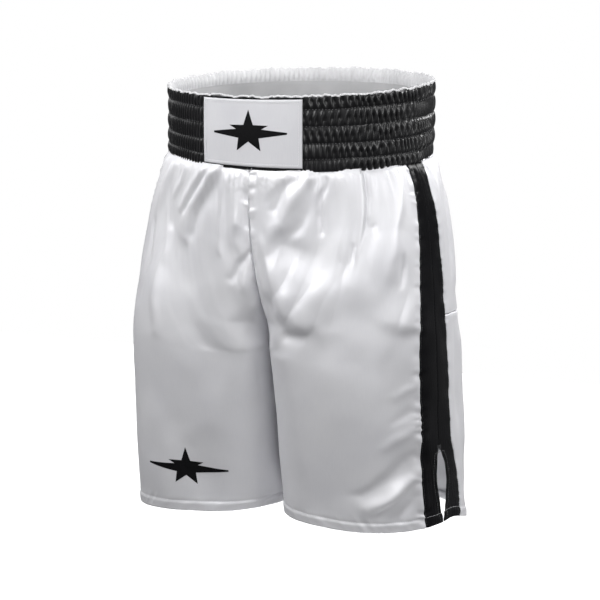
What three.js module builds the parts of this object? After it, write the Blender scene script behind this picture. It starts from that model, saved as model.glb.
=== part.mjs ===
// Boxing shorts: a shirred elastic waistband, six satin body panels, a two-piece side stripe
// with a vent on each side, a label patch and the threads that hold them together.
//
// Millimetres, +Z up. The front faces -Y and the wearer's left is +X. The origin is the centre
// of the waist opening, level with the middle of the waistband's top edge.
//
// Every panel lies on one surface, garmentPoint(side, phi, s). For each leg, phi runs round
// from the centre front (-PI) past the outer side (0) to the centre back (PI), and s runs from
// the bottom of the waistband (0) to the hem (1). Above the crotch the two legs share a torso.

import * as THREE from 'three';
import { TessellateModifier } from 'three/addons/modifiers/TessellateModifier.js';
import { mergeVertices } from 'three/addons/utils/BufferGeometryUtils.js';

const { clamp, lerp } = THREE.MathUtils;
const QUARTER_TURN = Math.PI / 2;

// ---- Driving dimensions -------------------------------------------------------------------

const WAIST_HALF_WIDTH = 182;
const WAIST_HALF_DEPTH = 147;
const WAIST_TILT = 0.085;         // rise of the waist towards the back, per mm of depth
const BAND_HEIGHT = 91;
const BAND_ROLL = 5;              // how much lower the band ends on the wearer's left

const BODY_TOP_HALF_WIDTH = 184;
const HIP_FLARE = 32.5;           // added half width from waistband to hip
const HIP_FLARE_REACH = 0.155;    // share of the body height in which most of it is reached
const BODY_HALF_DEPTH = 146;
const HEM_HALF_DEPTH = 152;
const LEG_SQUARENESS = 2.4;       // superellipse exponent of the outer half of a leg's section
const LEG_SHAPE_REACH = 1.15;     // the legs' outer halves are full legs here, 1 being the crotch
const CROTCH_ROUNDING = 42;       // largest radius of a leg's inner corners, at the crotch
const HEM_ROUNDING = 80;          // and at the hem
const INNER_LEG_CLEARANCE = 3;    // each inner leg to the centre seam's plane
const SEAM_SHIFT = 13;            // the centre seam hangs this far towards the wearer's left
const SEAM_SHIFT_REACH = 0.45;    // and all of that is reached here
const THINNEST_WALL = 0.01;       // an inner leg is never narrower than this
const CROTCH_Z = -335;
const HEM_Z = -560;
const HEM_SIDE_DROP = 10;         // outer side of the hem lower, inner side higher
const HEM_BACK_DROP = 24;         // the back of the hem hangs lower than the front
const HEM_BACK_FROM_PHI = 1;      // all of that drop is reached here
const HEM_BACK_TO_PHI = 1.9;      // and it fades from here to the inner leg
const CROTCH_CURVE = 2.8;         // superellipse exponent of the crotch seam
const FRONT_LEAN = 12;            // belly and thighs forward of the waist's middle
const FRONT_LEAN_REACH = 0.78;    // the lean comes back to nothing here

const STRIPE_FRONT_PHI = -0.62;
const STRIPE_REAR_PHI_TOP = -0.18;
const STRIPE_REAR_PHI_GROWTH = 0.26;  // the stripe widens to the rear on its way down
const STRIPE_GROWTH_REACH = 0.6;
const STRIPE_DRIFT_PHI = 0.042;   // the stripe's front edge swings back above the hem
const STRIPE_DRIFT_S = 0.88;
const VENT_TOP_S = 0.78;
const VENT_FRONT_PHI = 0.09;      // widest opening, forward and rearward of the side seam
const VENT_REAR_PHI = 0.165;
const VENT_CLOSING = 0.97;        // 1 would bring the flaps' lower corners together
const VENT_SKEW = 0.85;           // below 1 the vent is widest above its middle
const VENT_DRIFT_PHI = 0.07;      // the vent runs back by this much on its way to the hem
const VENT_SPREAD_PHI = 0.28;     // the rear half of the stripe swings back by this much
const VENT_SPREAD_REACH = 0.36;
const YOKE_S = 0.42;              // seam between the upper and lower back panels

const FABRIC = 1.0;
const SEAM_GAP = 0.0022;          // radians left between panels at a seam
const ROW_GAP = 0.25;             // left at the yoke seam by each of its panels
const BAND_GAP = 0.7;             // below the waistband, above the body panels
const PANEL_COLUMNS = 12;
const STRIPE_COLUMNS = 2;

const PUFF_HEIGHTS = [15, 21, 21, 19, 15];
const PUFF_DEPTH = 3;
const PUFF_STEPS = 3;
const COVER_THICKNESS = 1;
const ELASTIC_THICKNESS = 1.5;
const ELASTIC_CLEARANCE = 2;      // from the elastic's lower edge to the band's
const LINING_THICKNESS = 1;
const LAYER_GAP = 0.3;
const BAND_FACETS = 48;

const LABEL_FACETS = 6;
const LABEL_TOP = 2;
const LABEL_BOTTOM = 87;
const LABEL_THICKNESS = 1.2;
const LABEL_STITCH_INSET = 4;

const THREAD_WIDTH = 1.4;
const THREAD_THICKNESS = 0.6;
const THREAD_LIFT = 0.4;
const OVERLOCK_WIDTH = 5;
const OVERLOCK_THICKNESS = 1;
const OVERLOCK_LIFT = 3.6;        // inside the panels, where the crotch folds sharply
const HEM_DEPTH = 13;             // from the hem's edge to its topstitching
const YOKE_STITCH_RISE = 0.008;   // the stitching runs this much above the yoke seam
const YOKE_STITCH_END = 5;        // and stops this far from the centre seam
const VENT_STITCH_INSET = 0.38;   // from the vent's edge, as a share of the stripe half's width
const VENT_STITCH_TURN = 0.25;
const VENT_STITCH_RISE = 0.01;    // and it passes this much above the vent
const TACK_S = VENT_TOP_S + 0.004;
const TACK_REACH = 0.2;
const TACK_WIDTH = 3;
const TACK_THICKNESS = 1;
const INSEAM_START = 0.01;        // the inseam's overlock starts this much below the crotch
const STRIPE_STITCH_INSET = 0.08; // from the stripe's outer edges

const MARK_LIFT = 0.8;
const MARK_THICKNESS = 0.6;
const MARK_STEP = 7;              // longest edge of a mark's triangles
const MARK_PASSES = 8;            // times they may be halved to reach it
const MERGE_REACH = 0.001;        // corners closer together than this are one
const LEG_MARK_CENTRE = new THREE.Vector2(-96, -500);
const LEG_MARK_WIDTH = 120;
const LEG_MARK_STAR = 27;         // radius of the star
const LABEL_MARK_CENTRE = new THREE.Vector2(0, -56);
const LABEL_MARK_WIDTH = 104;
const LABEL_MARK_STAR = 29;
const STAR_NOTCH = 0.4;           // inner radius of a star, as a share of its outer radius

// The left bar of a mark, in star radii: where it leaves the star, and the heights of its tip.
const BAR_ROOT_TOP = new THREE.Vector2(-0.62, 0.14);
const BAR_ROOT_BOTTOM = new THREE.Vector2(-0.5, -0.25);
const BAR_TIP_TOP = 0.02;
const BAR_TIP_BOTTOM = -0.06;

// Rows of the panel grids, from the waistband to the hem, closer together at the crotch.
const CROTCH_S = (CROTCH_Z + BAND_HEIGHT) / (HEM_Z + BAND_HEIGHT);
const UPPER_ROWS = [0, 0.05, 0.11, 0.18, 0.26, 0.34, YOKE_S];
const LOWER_ROWS = [
  YOKE_S, 0.47, 0.5, 0.514, CROTCH_S, 0.57, 0.64, 0.71, VENT_TOP_S, 0.82, 0.865, 0.91, 0.96, 1,
];
const ALL_ROWS = [...UPPER_ROWS, ...LOWER_ROWS.slice(1)];

// ---- Materials ----------------------------------------------------------------------------

function clothMaterial(color, roughness) {
  return new THREE.MeshStandardMaterial({ color, roughness, metalness: 0 });
}

const whiteSatin = () => clothMaterial(0xe9e9ee, 0.35);
const blackSatin = () => clothMaterial(0x17171a, 0.35);
const paleLining = () => clothMaterial(0xd9d9da, 0.8);
const elasticWeb = () => clothMaterial(0xf0f0ee, 0.85);
const whiteThread = () => clothMaterial(0xf2f2f4, 0.6);
const blackThread = () => clothMaterial(0x222226, 0.6);
const greyThread = () => clothMaterial(0x8a8a90, 0.6);
const blackPrint = () => clothMaterial(0x111113, 0.5);

// ---- The garment's surface ----------------------------------------------------------------

function smooth(x) {
  const t = clamp(x, 0, 1);
  return t * t * (3 - 2 * t);
}

// The outer half of a section, between the torso's ellipse and a leg's rounded box.
function outerSection(phi, halfWidth, halfDepth, legHalfDepth, legShare) {
  const torsoX = halfWidth * Math.cos(phi / 2);
  const torsoY = halfDepth * Math.sin(phi / 2);
  const legHalfWidth = (halfWidth - INNER_LEG_CLEARANCE) / 2;
  const legCentre = (halfWidth + INNER_LEG_CLEARANCE) / 2;
  const across = Math.abs(Math.cos(phi)) / legHalfWidth;
  const along = Math.abs(Math.sin(phi)) / legHalfDepth;
  const radius = (across ** LEG_SQUARENESS + along ** LEG_SQUARENESS) ** (-1 / LEG_SQUARENESS);
  return {
    x: lerp(torsoX, legCentre + radius * Math.cos(phi), legShare),
    depth: lerp(torsoY, radius * Math.sin(phi), legShare),
  };
}

// The inner half of a section. It follows the garment's face from the start (v 0), turns a rounded
// corner and runs back along the inner leg to the seam (v 1).
function innerSection(v, start, slope, middleDepth, seam, largestRadius) {
  const wall = Math.max(middleDepth - seam.depth, THINNEST_WALL);
  const radius = Math.min(largestRadius, wall);
  const flat = start.x - seam.x - radius;
  const corner = QUARTER_TURN * radius;
  const arc = v * (flat + corner + wall - radius);
  const turn = clamp((arc - flat) / radius, 0, QUARTER_TURN);
  const x = arc < flat ? start.x - arc : seam.x + radius * (1 - Math.sin(turn));
  const inwards = radius * (1 - Math.cos(turn)) + Math.max(arc - flat - corner, 0);

  // The face is a cubic: level at the middle, with the outer half's depth and slope at the start.
  const t = clamp(x / start.x, 0, 1);
  const fromMiddle = middleDepth * (1 + t * t * (2 * t - 3));
  const fromStart = start.depth * t * t * (3 - 2 * t) - start.x * slope * t * t * (t - 1);
  return { x, depth: fromMiddle + fromStart - inwards };
}

function centreSeamX(s) {
  return SEAM_SHIFT * smooth(s / SEAM_SHIFT_REACH);
}

// Height of the waistband's lower edge, and of the hem, at an angle round the leg.
function topZ(side, phi) {
  const tilt = WAIST_TILT * WAIST_HALF_DEPTH * Math.sin(phi / 2);
  return -BAND_HEIGHT + tilt - BAND_ROLL * side * Math.cos(phi / 2);
}

function hemZ(phi) {
  const reached = smooth(phi / HEM_BACK_FROM_PHI);
  const faded = smooth((phi - HEM_BACK_TO_PHI) / (Math.PI - HEM_BACK_TO_PHI));
  return HEM_Z - HEM_SIDE_DROP * Math.cos(phi) - HEM_BACK_DROP * reached * (1 - faded);
}

function garmentPoint(side, phi, s) {
  const halfWidth = BODY_TOP_HALF_WIDTH + HIP_FLARE * (1 - Math.exp(-Math.max(s, 0) / HIP_FLARE_REACH));
  const lean = -FRONT_LEAN * Math.sin(Math.PI * s / FRONT_LEAN_REACH);
  const toCrotch = clamp(s / CROTCH_S, 0, 1);
  const toHem = clamp((s - CROTCH_S) / (1 - CROTCH_S), 0, 1);
  const depth = lerp(WAIST_HALF_DEPTH, BODY_HALF_DEPTH, toCrotch);
  const legDepth = lerp(BODY_HALF_DEPTH, HEM_HALF_DEPTH, toHem);

  // The outer half of the section turns into a leg gradually, the centre seam only at the crotch.
  const legShare = smooth(s / (LEG_SHAPE_REACH * CROTCH_S));
  const outerPhi = clamp(phi, -QUARTER_TURN, QUARTER_TURN);
  let place = outerSection(outerPhi, halfWidth, depth, legDepth, legShare);
  if (Math.abs(phi) > QUARTER_TURN) {
    const start = outerSection(QUARTER_TURN, halfWidth, depth, legDepth, legShare);
    const slopeX = lerp(halfWidth * Math.sin(Math.PI / 4) / 2, legDepth, legShare);
    const slopeY = lerp(depth * Math.cos(Math.PI / 4) / 2, 0, legShare);
    const pinch = 1 - (1 - toCrotch ** CROTCH_CURVE) ** (1 / CROTCH_CURVE);
    const seam = { x: side * centreSeamX(s) + INNER_LEG_CLEARANCE * pinch, depth: depth * (1 - pinch) };
    const v = Math.min((Math.abs(phi) - QUARTER_TURN) / QUARTER_TURN, 1);
    const middleDepth = lerp(depth, legDepth, legShare);
    const rounding = lerp(CROTCH_ROUNDING, HEM_ROUNDING, toHem);
    place = innerSection(v, start, slopeY / slopeX, middleDepth, seam, rounding);
    place.depth *= Math.sign(phi);
  }
  return new THREE.Vector3(side * place.x, lean + place.depth, lerp(topZ(side, phi), hemZ(phi), s));
}

function garmentNormal(side, phi, s) {
  const dPhi = 0.05;
  const dS = 0.02;
  const around = garmentPoint(side, phi + dPhi, s).sub(garmentPoint(side, phi - dPhi, s));
  const down = garmentPoint(side, phi, s + dS).sub(garmentPoint(side, phi, s - dS));
  return around.cross(down).normalize().multiplyScalar(-side);
}

// ---- Closed bodies ------------------------------------------------------------------------

// A closed body from vertices and triangles, turned so that its faces point out.
function closedBody(vertices, triangles) {
  let volume = 0;
  for (const [a, b, c] of triangles) {
    volume += vertices[a].dot(vertices[b].clone().cross(vertices[c]));
  }
  const index = triangles.flatMap(([a, b, c]) => (volume > 0 ? [a, b, c] : [a, c, b]));
  const geometry = new THREE.BufferGeometry().setFromPoints(vertices);
  geometry.setIndex(index);
  geometry.computeVertexNormals();
  return geometry;
}

// A sheet with thickness: outer[i][j] and inner[i][j] are matching grids of points.
function sheetBody(outer, inner) {
  const columns = outer.length;
  const rows = outer[0].length;
  const vertices = [...outer.flat(), ...inner.flat()];
  const outerIndex = (i, j) => i * rows + j;
  const innerIndex = (i, j) => columns * rows + i * rows + j;
  const triangles = [];
  const quad = (a, b, c, d) => triangles.push([a, b, c], [a, c, d]);
  for (let i = 0; i < columns - 1; i += 1) {
    for (let j = 0; j < rows - 1; j += 1) {
      quad(outerIndex(i, j), outerIndex(i + 1, j), outerIndex(i + 1, j + 1), outerIndex(i, j + 1));
      quad(innerIndex(i, j), innerIndex(i, j + 1), innerIndex(i + 1, j + 1), innerIndex(i + 1, j));
    }
    quad(outerIndex(i + 1, 0), outerIndex(i, 0), innerIndex(i, 0), innerIndex(i + 1, 0));
    const end = rows - 1;
    quad(outerIndex(i, end), outerIndex(i + 1, end), innerIndex(i + 1, end), innerIndex(i, end));
  }
  for (let j = 0; j < rows - 1; j += 1) {
    quad(outerIndex(0, j), outerIndex(0, j + 1), innerIndex(0, j + 1), innerIndex(0, j));
    const last = columns - 1;
    quad(outerIndex(last, j + 1), outerIndex(last, j), innerIndex(last, j), innerIndex(last, j + 1));
  }
  return closedBody(vertices, triangles);
}

// A section of points, given at every station, joined into a ring or into a bar with two ends.
function loftBody(sections, isRing) {
  const count = sections[0].length;
  const vertices = sections.flat();
  const triangles = [];
  const spans = isRing ? sections.length : sections.length - 1;
  for (let i = 0; i < spans; i += 1) {
    const here = i * count;
    const next = ((i + 1) % sections.length) * count;
    for (let k = 0; k < count; k += 1) {
      const after = (k + 1) % count;
      triangles.push([here + k, next + k, next + after], [here + k, next + after, here + after]);
    }
  }
  if (!isRing) {
    const last = (sections.length - 1) * count;
    for (let k = 1; k < count - 1; k += 1) {
      triangles.push([0, k, k + 1], [last, last + k + 1, last + k]);
    }
  }
  return closedBody(vertices, triangles);
}

// A flat ribbon laid along a path. Each station has a point and the outward normal there.
function ribbonBody(path, { width, thickness, lift, isLoop = false }) {
  const count = path.length;
  const sections = path.map(({ point, normal }, i) => {
    const before = path[isLoop ? (i + count - 1) % count : Math.max(i - 1, 0)].point;
    const after = path[isLoop ? (i + 1) % count : Math.min(i + 1, count - 1)].point;
    const across = after.clone().sub(before).cross(normal).setLength(width / 2);
    const low = point.clone().addScaledVector(normal, lift);
    const high = point.clone().addScaledVector(normal, lift + thickness);
    return [
      low.clone().add(across),
      low.clone().sub(across),
      high.clone().sub(across),
      high.clone().add(across),
    ];
  });
  return loftBody(sections, isLoop);
}

function thread(path, isLoop = false) {
  return ribbonBody(path, {
    width: THREAD_WIDTH,
    thickness: THREAD_THICKNESS,
    lift: THREAD_LIFT,
    isLoop,
  });
}

function overlock(path) {
  return ribbonBody(path, {
    width: OVERLOCK_WIDTH,
    thickness: OVERLOCK_THICKNESS,
    lift: -FABRIC - OVERLOCK_LIFT - OVERLOCK_THICKNESS,
  });
}

// ---- Panels -------------------------------------------------------------------------------

function stripeFront(s) {
  return STRIPE_FRONT_PHI + STRIPE_DRIFT_PHI * smooth((s - STRIPE_DRIFT_S) / (1 - STRIPE_DRIFT_S));
}

// The stripe's rear edge as it would run without the vent.
function stripeRearPlain(s) {
  return STRIPE_REAR_PHI_TOP + STRIPE_REAR_PHI_GROWTH * smooth(s / STRIPE_GROWTH_REACH);
}

function stripeRear(s) {
  const down = Math.max(s - VENT_TOP_S, 0);
  return stripeRearPlain(s) + VENT_SPREAD_PHI * Math.sin(Math.PI * down / VENT_SPREAD_REACH);
}

function sideSeam(s) {
  const drift = VENT_DRIFT_PHI * smooth((s - VENT_TOP_S) / (1 - VENT_TOP_S));
  return (STRIPE_FRONT_PHI + stripeRearPlain(s)) / 2 + drift;
}

// How far the vent stands open, from 0 at its top to 1 at its widest.
function ventOpening(s) {
  const down = clamp((s - VENT_TOP_S) / (1 - VENT_TOP_S), 0, 1);
  return Math.sin(VENT_CLOSING * Math.PI * down ** VENT_SKEW);
}

const ventFront = (s) => sideSeam(s) - VENT_FRONT_PHI * ventOpening(s);
const ventRear = (s) => sideSeam(s) + VENT_REAR_PHI * ventOpening(s);

// A panel between two edges, each an angle for a given s, over the given rows.
class Panel {
  constructor(side, rows, columns, from, to) {
    this.side = side;
    this.rows = rows;
    this.columns = columns;
    this.angle = (u, s) => lerp(from(s) + SEAM_GAP, to(s) - SEAM_GAP, u);
    this.outer = [];
    this.normals = [];
    for (let i = 0; i <= columns; i += 1) {
      const angles = rows.map((s) => this.angle(i / columns, s));
      this.outer.push(rows.map((s, j) => garmentPoint(side, angles[j], s)));
      this.normals.push(rows.map((s, j) => garmentNormal(side, angles[j], s)));
    }
    this.trimEnds();
  }

  // Leaves the seam's gap at the first and the last row.
  trimEnds() {
    for (const column of this.outer) {
      const last = column.length - 1;
      const down = column[1].clone().sub(column[0]).normalize();
      const up = column[last - 1].clone().sub(column[last]).normalize();
      column[0].addScaledVector(down, this.rows[0] === 0 ? BAND_GAP : ROW_GAP);
      if (this.rows[last] < 1) column[last].addScaledVector(up, ROW_GAP);
    }
  }

  // A station on the panel's faceted outer face, u across from 0 to 1 and s down.
  station(u, s) {
    const i = Math.min(Math.floor(u * this.columns), this.columns - 1);
    let j = 0;
    while (j < this.rows.length - 2 && this.rows[j + 1] < s) j += 1;
    const a = u * this.columns - i;
    const b = (s - this.rows[j]) / (this.rows[j + 1] - this.rows[j]);
    const mix = (grid) => {
      const upper = grid[i][j].clone().lerp(grid[i + 1][j], a);
      const lower = grid[i][j + 1].clone().lerp(grid[i + 1][j + 1], a);
      return upper.lerp(lower, b);
    };
    return { point: mix(this.outer), normal: mix(this.normals).normalize() };
  }

  body() {
    const inner = this.outer.map((column, i) => (
      column.map((point, j) => point.clone().addScaledVector(this.normals[i][j], -FABRIC))
    ));
    return sheetBody(this.outer, inner);
  }
}

function panelsOfSide(side) {
  const centreFront = () => -Math.PI;
  const centreBack = () => Math.PI;
  return {
    front: new Panel(side, ALL_ROWS, PANEL_COLUMNS, centreFront, stripeFront),
    stripeFront: new Panel(side, ALL_ROWS, STRIPE_COLUMNS, stripeFront, ventFront),
    stripeRear: new Panel(side, ALL_ROWS, STRIPE_COLUMNS, ventRear, stripeRear),
    backUpper: new Panel(side, UPPER_ROWS, PANEL_COLUMNS, stripeRear, centreBack),
    backLower: new Panel(side, LOWER_ROWS, PANEL_COLUMNS, stripeRear, centreBack),
  };
}

// ---- Threads on the panels ----------------------------------------------------------------

// Rows clear of the waistband and of the hem's edge.
function rowsBetweenEdges(rows) {
  return rows.filter((s) => s > 0 && s < 1);
}

// Stations right across a panel at one height.
function stationsAcross(panel, s) {
  const stations = [];
  for (let i = 0; i <= panel.columns; i += 1) {
    stations.push(panel.station(i / panel.columns, s));
  }
  return stations;
}

function hemStitch({ front, backLower }) {
  const s = 1 - HEM_DEPTH / (-HEM_Z - BAND_HEIGHT);
  return thread([...stationsAcross(front, s).reverse(), ...stationsAcross(backLower, s).reverse()]);
}

// Edge stitching beside the stripe, at a share u of the stripe half's width.
function stripeStitch(half, u) {
  return thread(rowsBetweenEdges(ALL_ROWS).map((s) => half.station(u, s)));
}

// The yoke's stitching stops short of the fold at the centre back.
function yokeStitch({ backUpper }) {
  const s = YOKE_S - YOKE_STITCH_RISE;
  const isClear = ({ point }) => Math.abs(point.x - centreSeamX(s)) > YOKE_STITCH_END;
  return thread(stationsAcross(backUpper, s).filter(isClear));
}

// Up one edge of the vent, over its top and down the other edge.
function ventStitch(halves) {
  const rows = rowsBetweenEdges(ALL_ROWS).filter((s) => s > VENT_TOP_S);
  const overTop = VENT_TOP_S - VENT_STITCH_RISE;
  const up = [...rows].reverse().map((s) => halves.stripeFront.station(1 - VENT_STITCH_INSET, s));
  const turn = [
    halves.stripeFront.station(1 - VENT_STITCH_TURN, overTop),
    halves.stripeRear.station(VENT_STITCH_TURN, overTop),
  ];
  const down = rows.map((s) => halves.stripeRear.station(VENT_STITCH_INSET, s));
  return thread([...up, ...turn, ...down]);
}

function barTack(halves) {
  const path = [
    halves.stripeFront.station(1 - TACK_REACH, TACK_S),
    halves.stripeFront.station(1, TACK_S),
    halves.stripeRear.station(0, TACK_S),
    halves.stripeRear.station(TACK_REACH, TACK_S),
  ];
  return ribbonBody(path, { width: TACK_WIDTH, thickness: TACK_THICKNESS, lift: THREAD_LIFT });
}

function inseamOverlock(side) {
  const rows = LOWER_ROWS.filter((s) => s > CROTCH_S + INSEAM_START && s < 1);
  const path = rows.map((s) => ({
    point: garmentPoint(side, Math.PI, s),
    normal: garmentNormal(side, Math.PI, s),
  }));
  return overlock(path);
}

// The centre seam, from the front of the waist through the crotch to the back of the waist.
function crotchOverlock() {
  const rows = ALL_ROWS.filter((s) => s > 0 && s <= CROTCH_S);
  const onSeam = (phi) => rows.map((s) => garmentPoint(1, phi, s).setX(centreSeamX(s)));
  const points = [...onSeam(-Math.PI), ...onSeam(Math.PI).reverse().slice(1)];
  const path = points.map((point, i) => {
    const before = points[Math.max(i - 1, 0)];
    const after = points[Math.min(i + 1, points.length - 1)];
    const along = after.clone().sub(before).normalize();
    return { point, normal: new THREE.Vector3(0, along.z, -along.y) };
  });
  return overlock(path);
}

// ---- Waistband ----------------------------------------------------------------------------

function bandNormal(t) {
  return new THREE.Vector3(WAIST_HALF_DEPTH * Math.cos(t), WAIST_HALF_WIDTH * Math.sin(t), 0).normalize();
}

// A point of the band: angle t round the waist, depth outwards from the waist ellipse, and
// height down from the top edge.
function bandPoint(t, outwards, down) {
  const point = new THREE.Vector3(WAIST_HALF_WIDTH * Math.cos(t), WAIST_HALF_DEPTH * Math.sin(t), 0);
  point.addScaledVector(bandNormal(t), outwards);
  point.z = WAIST_TILT * point.y - down;
  point.z -= BAND_ROLL * point.x / WAIST_HALF_WIDTH * down / BAND_HEIGHT;
  return point;
}

const facetAngle = (k) => -Math.PI / 2 + 2 * Math.PI * k / BAND_FACETS;

function bandRing(profile) {
  const sections = [];
  for (let k = 0; k < BAND_FACETS; k += 1) {
    sections.push(profile.map(([outwards, down]) => bandPoint(facetAngle(k), outwards, down)));
  }
  return loftBody(sections, true);
}

// Depths of the shirring grooves below the top edge.
function grooveDepths() {
  let depth = 0;
  return PUFF_HEIGHTS.slice(0, -1).map((height) => {
    depth += height;
    return depth;
  });
}

function coverBody() {
  const profile = [[-PUFF_DEPTH, 0]];
  let depth = 0;
  for (const height of PUFF_HEIGHTS) {
    for (let step = 1; step <= PUFF_STEPS; step += 1) {
      const share = step / (PUFF_STEPS + 1);
      profile.push([-PUFF_DEPTH * (1 - Math.sin(Math.PI * share)), depth + height * share]);
    }
    depth += height;
    profile.push([-PUFF_DEPTH, depth]);
  }
  const back = -PUFF_DEPTH - COVER_THICKNESS;
  profile.push([back, depth], [back, 0]);
  return bandRing(profile);
}

function layerBody(outside, thickness, top, bottom) {
  const inside = outside - thickness;
  return bandRing([[outside, top], [outside, bottom], [inside, bottom], [inside, top]]);
}

const elasticOutside = -PUFF_DEPTH - COVER_THICKNESS - LAYER_GAP;
const liningOutside = elasticOutside - ELASTIC_THICKNESS - LAYER_GAP;

function shirringStitch(depth) {
  const half = THREAD_WIDTH / 2;
  const low = -PUFF_DEPTH + THREAD_LIFT;
  const high = low + THREAD_THICKNESS + THREAD_LIFT;
  return bandRing([[low, depth - half], [low, depth + half], [high, depth + half], [high, depth - half]]);
}

function labelBody() {
  const grid = (outwards) => {
    const columns = [];
    for (let k = -LABEL_FACETS / 2; k <= LABEL_FACETS / 2; k += 1) {
      columns.push([LABEL_TOP, LABEL_BOTTOM].map((down) => bandPoint(facetAngle(k), outwards, down)));
    }
    return columns;
  };
  return sheetBody(grid(LAYER_GAP + LABEL_THICKNESS), grid(LAYER_GAP));
}

// A band point that lies on the flat facets, for a k that need not be whole.
function facetPoint(k, outwards, down) {
  const first = Math.floor(k);
  const from = bandPoint(facetAngle(first), outwards, down);
  return from.lerp(bandPoint(facetAngle(first + 1), outwards, down), k - first);
}

// A loop of thread a little inside the label's edge, with a station at every facet.
function labelStitch() {
  const face = LAYER_GAP + LABEL_THICKNESS;
  const reach = LABEL_FACETS / 2;
  const sideways = reach - LABEL_STITCH_INSET / (WAIST_HALF_WIDTH * 2 * Math.PI / BAND_FACETS);
  const top = LABEL_TOP + LABEL_STITCH_INSET;
  const bottom = LABEL_BOTTOM - LABEL_STITCH_INSET;
  const steps = [-sideways];
  for (let k = 1 - reach; k < reach; k += 1) steps.push(k);
  steps.push(sideways);
  const station = (k, down) => ({
    point: facetPoint(k, face, down),
    normal: bandNormal(facetAngle(k)),
  });
  const path = [
    ...steps.map((k) => station(k, top)),
    ...[...steps].reverse().map((k) => station(k, bottom)),
  ];
  return thread(path, true);
}

// ---- Printed marks ------------------------------------------------------------------------

// A five-pointed star with a tapered bar on either side, as one outline.
function starAndBars(width, starRadius) {
  const vertex = (step) => {
    const radius = step % 2 === 0 ? starRadius : STAR_NOTCH * starRadius;
    const angle = Math.PI / 2 + step * Math.PI / 5;
    return new THREE.Vector2(radius * Math.cos(angle), radius * Math.sin(angle));
  };
  const leftBar = [
    BAR_ROOT_TOP.clone().multiplyScalar(starRadius),
    new THREE.Vector2(-width / 2, BAR_TIP_TOP * starRadius),
    new THREE.Vector2(-width / 2, BAR_TIP_BOTTOM * starRadius),
    BAR_ROOT_BOTTOM.clone().multiplyScalar(starRadius),
  ];
  const leftSide = [vertex(1), vertex(2), ...leftBar, vertex(4), vertex(5)];
  const rightSide = leftSide.slice(0, -1).reverse().map((point) => new THREE.Vector2(-point.x, point.y));
  return [vertex(0), ...leftSide, ...rightSide];
}

// The outline as a thin plate laid on a mesh: carried along +Y to where it meets the mesh's front.
function printedMark(outline, centre, backing) {
  const shape = new THREE.Shape(outline);
  const flat = new THREE.ExtrudeGeometry(shape, { depth: MARK_THICKNESS, bevelEnabled: false });
  const fine = new TessellateModifier(MARK_STEP, MARK_PASSES).modify(flat);
  fine.deleteAttribute('normal');
  fine.deleteAttribute('uv');
  const plate = mergeVertices(fine, MERGE_REACH);
  const places = plate.getAttribute('position');
  const caster = new THREE.Raycaster();
  const forward = new THREE.Vector3(0, 1, 0);
  backing.updateMatrixWorld();
  for (let i = 0; i < places.count; i += 1) {
    const x = centre.x + places.getX(i);
    const z = centre.y + places.getY(i);
    const start = new THREE.Vector3(x, -2 * WAIST_HALF_WIDTH, z);
    caster.set(start, forward);
    const [hit] = caster.intersectObject(backing);
    const landed = hit.point.addScaledVector(hit.face.normal, MARK_LIFT + places.getZ(i));
    places.setXYZ(i, landed.x, landed.y, landed.z);
  }
  plate.computeVertexNormals();
  return plate;
}

// ---- Assembly -----------------------------------------------------------------------------

const shorts = new THREE.Group();

function add(name, geometry, material) {
  const mesh = new THREE.Mesh(geometry, material);
  mesh.name = name;
  shorts.add(mesh);
  return mesh;
}

function addWaistband() {
  const elasticTop = PUFF_HEIGHTS[0];
  const elasticBottom = BAND_HEIGHT - ELASTIC_CLEARANCE;
  const elastic = layerBody(elasticOutside, ELASTIC_THICKNESS, elasticTop, elasticBottom);
  add('waistband_cover', coverBody(), blackSatin());
  add('waistband_elastic', elastic, elasticWeb());
  add('waistband_lining', layerBody(liningOutside, LINING_THICKNESS, 0, BAND_HEIGHT), paleLining());
  for (const [row, depth] of grooveDepths().entries()) {
    add(`shirring_stitch_${row + 1}`, shirringStitch(depth), greyThread());
  }
  const label = add('label_patch', labelBody(), whiteSatin());
  add('label_edge_stitch', labelStitch(), whiteThread());
  const labelMark = starAndBars(LABEL_MARK_WIDTH, LABEL_MARK_STAR);
  add('label_mark', printedMark(labelMark, LABEL_MARK_CENTRE, label), blackPrint());
}

function addSide(side, name) {
  const panels = panelsOfSide(side);
  const front = add(`front_panel_${name}`, panels.front.body(), whiteSatin());
  add(`back_upper_panel_${name}`, panels.backUpper.body(), whiteSatin());
  add(`back_lower_panel_${name}`, panels.backLower.body(), whiteSatin());
  add(`side_stripe_front_${name}`, panels.stripeFront.body(), blackSatin());
  add(`side_stripe_rear_${name}`, panels.stripeRear.body(), blackSatin());
  const frontStitch = stripeStitch(panels.stripeFront, STRIPE_STITCH_INSET);
  const rearStitch = stripeStitch(panels.stripeRear, 1 - STRIPE_STITCH_INSET);
  add(`stripe_front_stitch_${name}`, frontStitch, blackThread());
  add(`stripe_rear_stitch_${name}`, rearStitch, blackThread());
  add(`hem_stitch_${name}`, hemStitch(panels), whiteThread());
  add(`yoke_stitch_${name}`, yokeStitch(panels), whiteThread());
  add(`vent_stitch_${name}`, ventStitch(panels), blackThread());
  add(`vent_bar_tack_${name}`, barTack(panels), blackThread());
  add(`inseam_overlock_${name}`, inseamOverlock(side), whiteThread());
  return front;
}

addWaistband();
addSide(1, 'left');
const rightFront = addSide(-1, 'right');
add('centre_seam_overlock', crotchOverlock(), whiteThread());
const legMark = starAndBars(LEG_MARK_WIDTH, LEG_MARK_STAR);
add('leg_mark', printedMark(legMark, LEG_MARK_CENTRE, rightFront), blackPrint());

export default shorts;
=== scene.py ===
import math

import bmesh
import bpy
import numpy as np
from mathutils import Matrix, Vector
from mathutils.bvhtree import BVHTree


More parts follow.
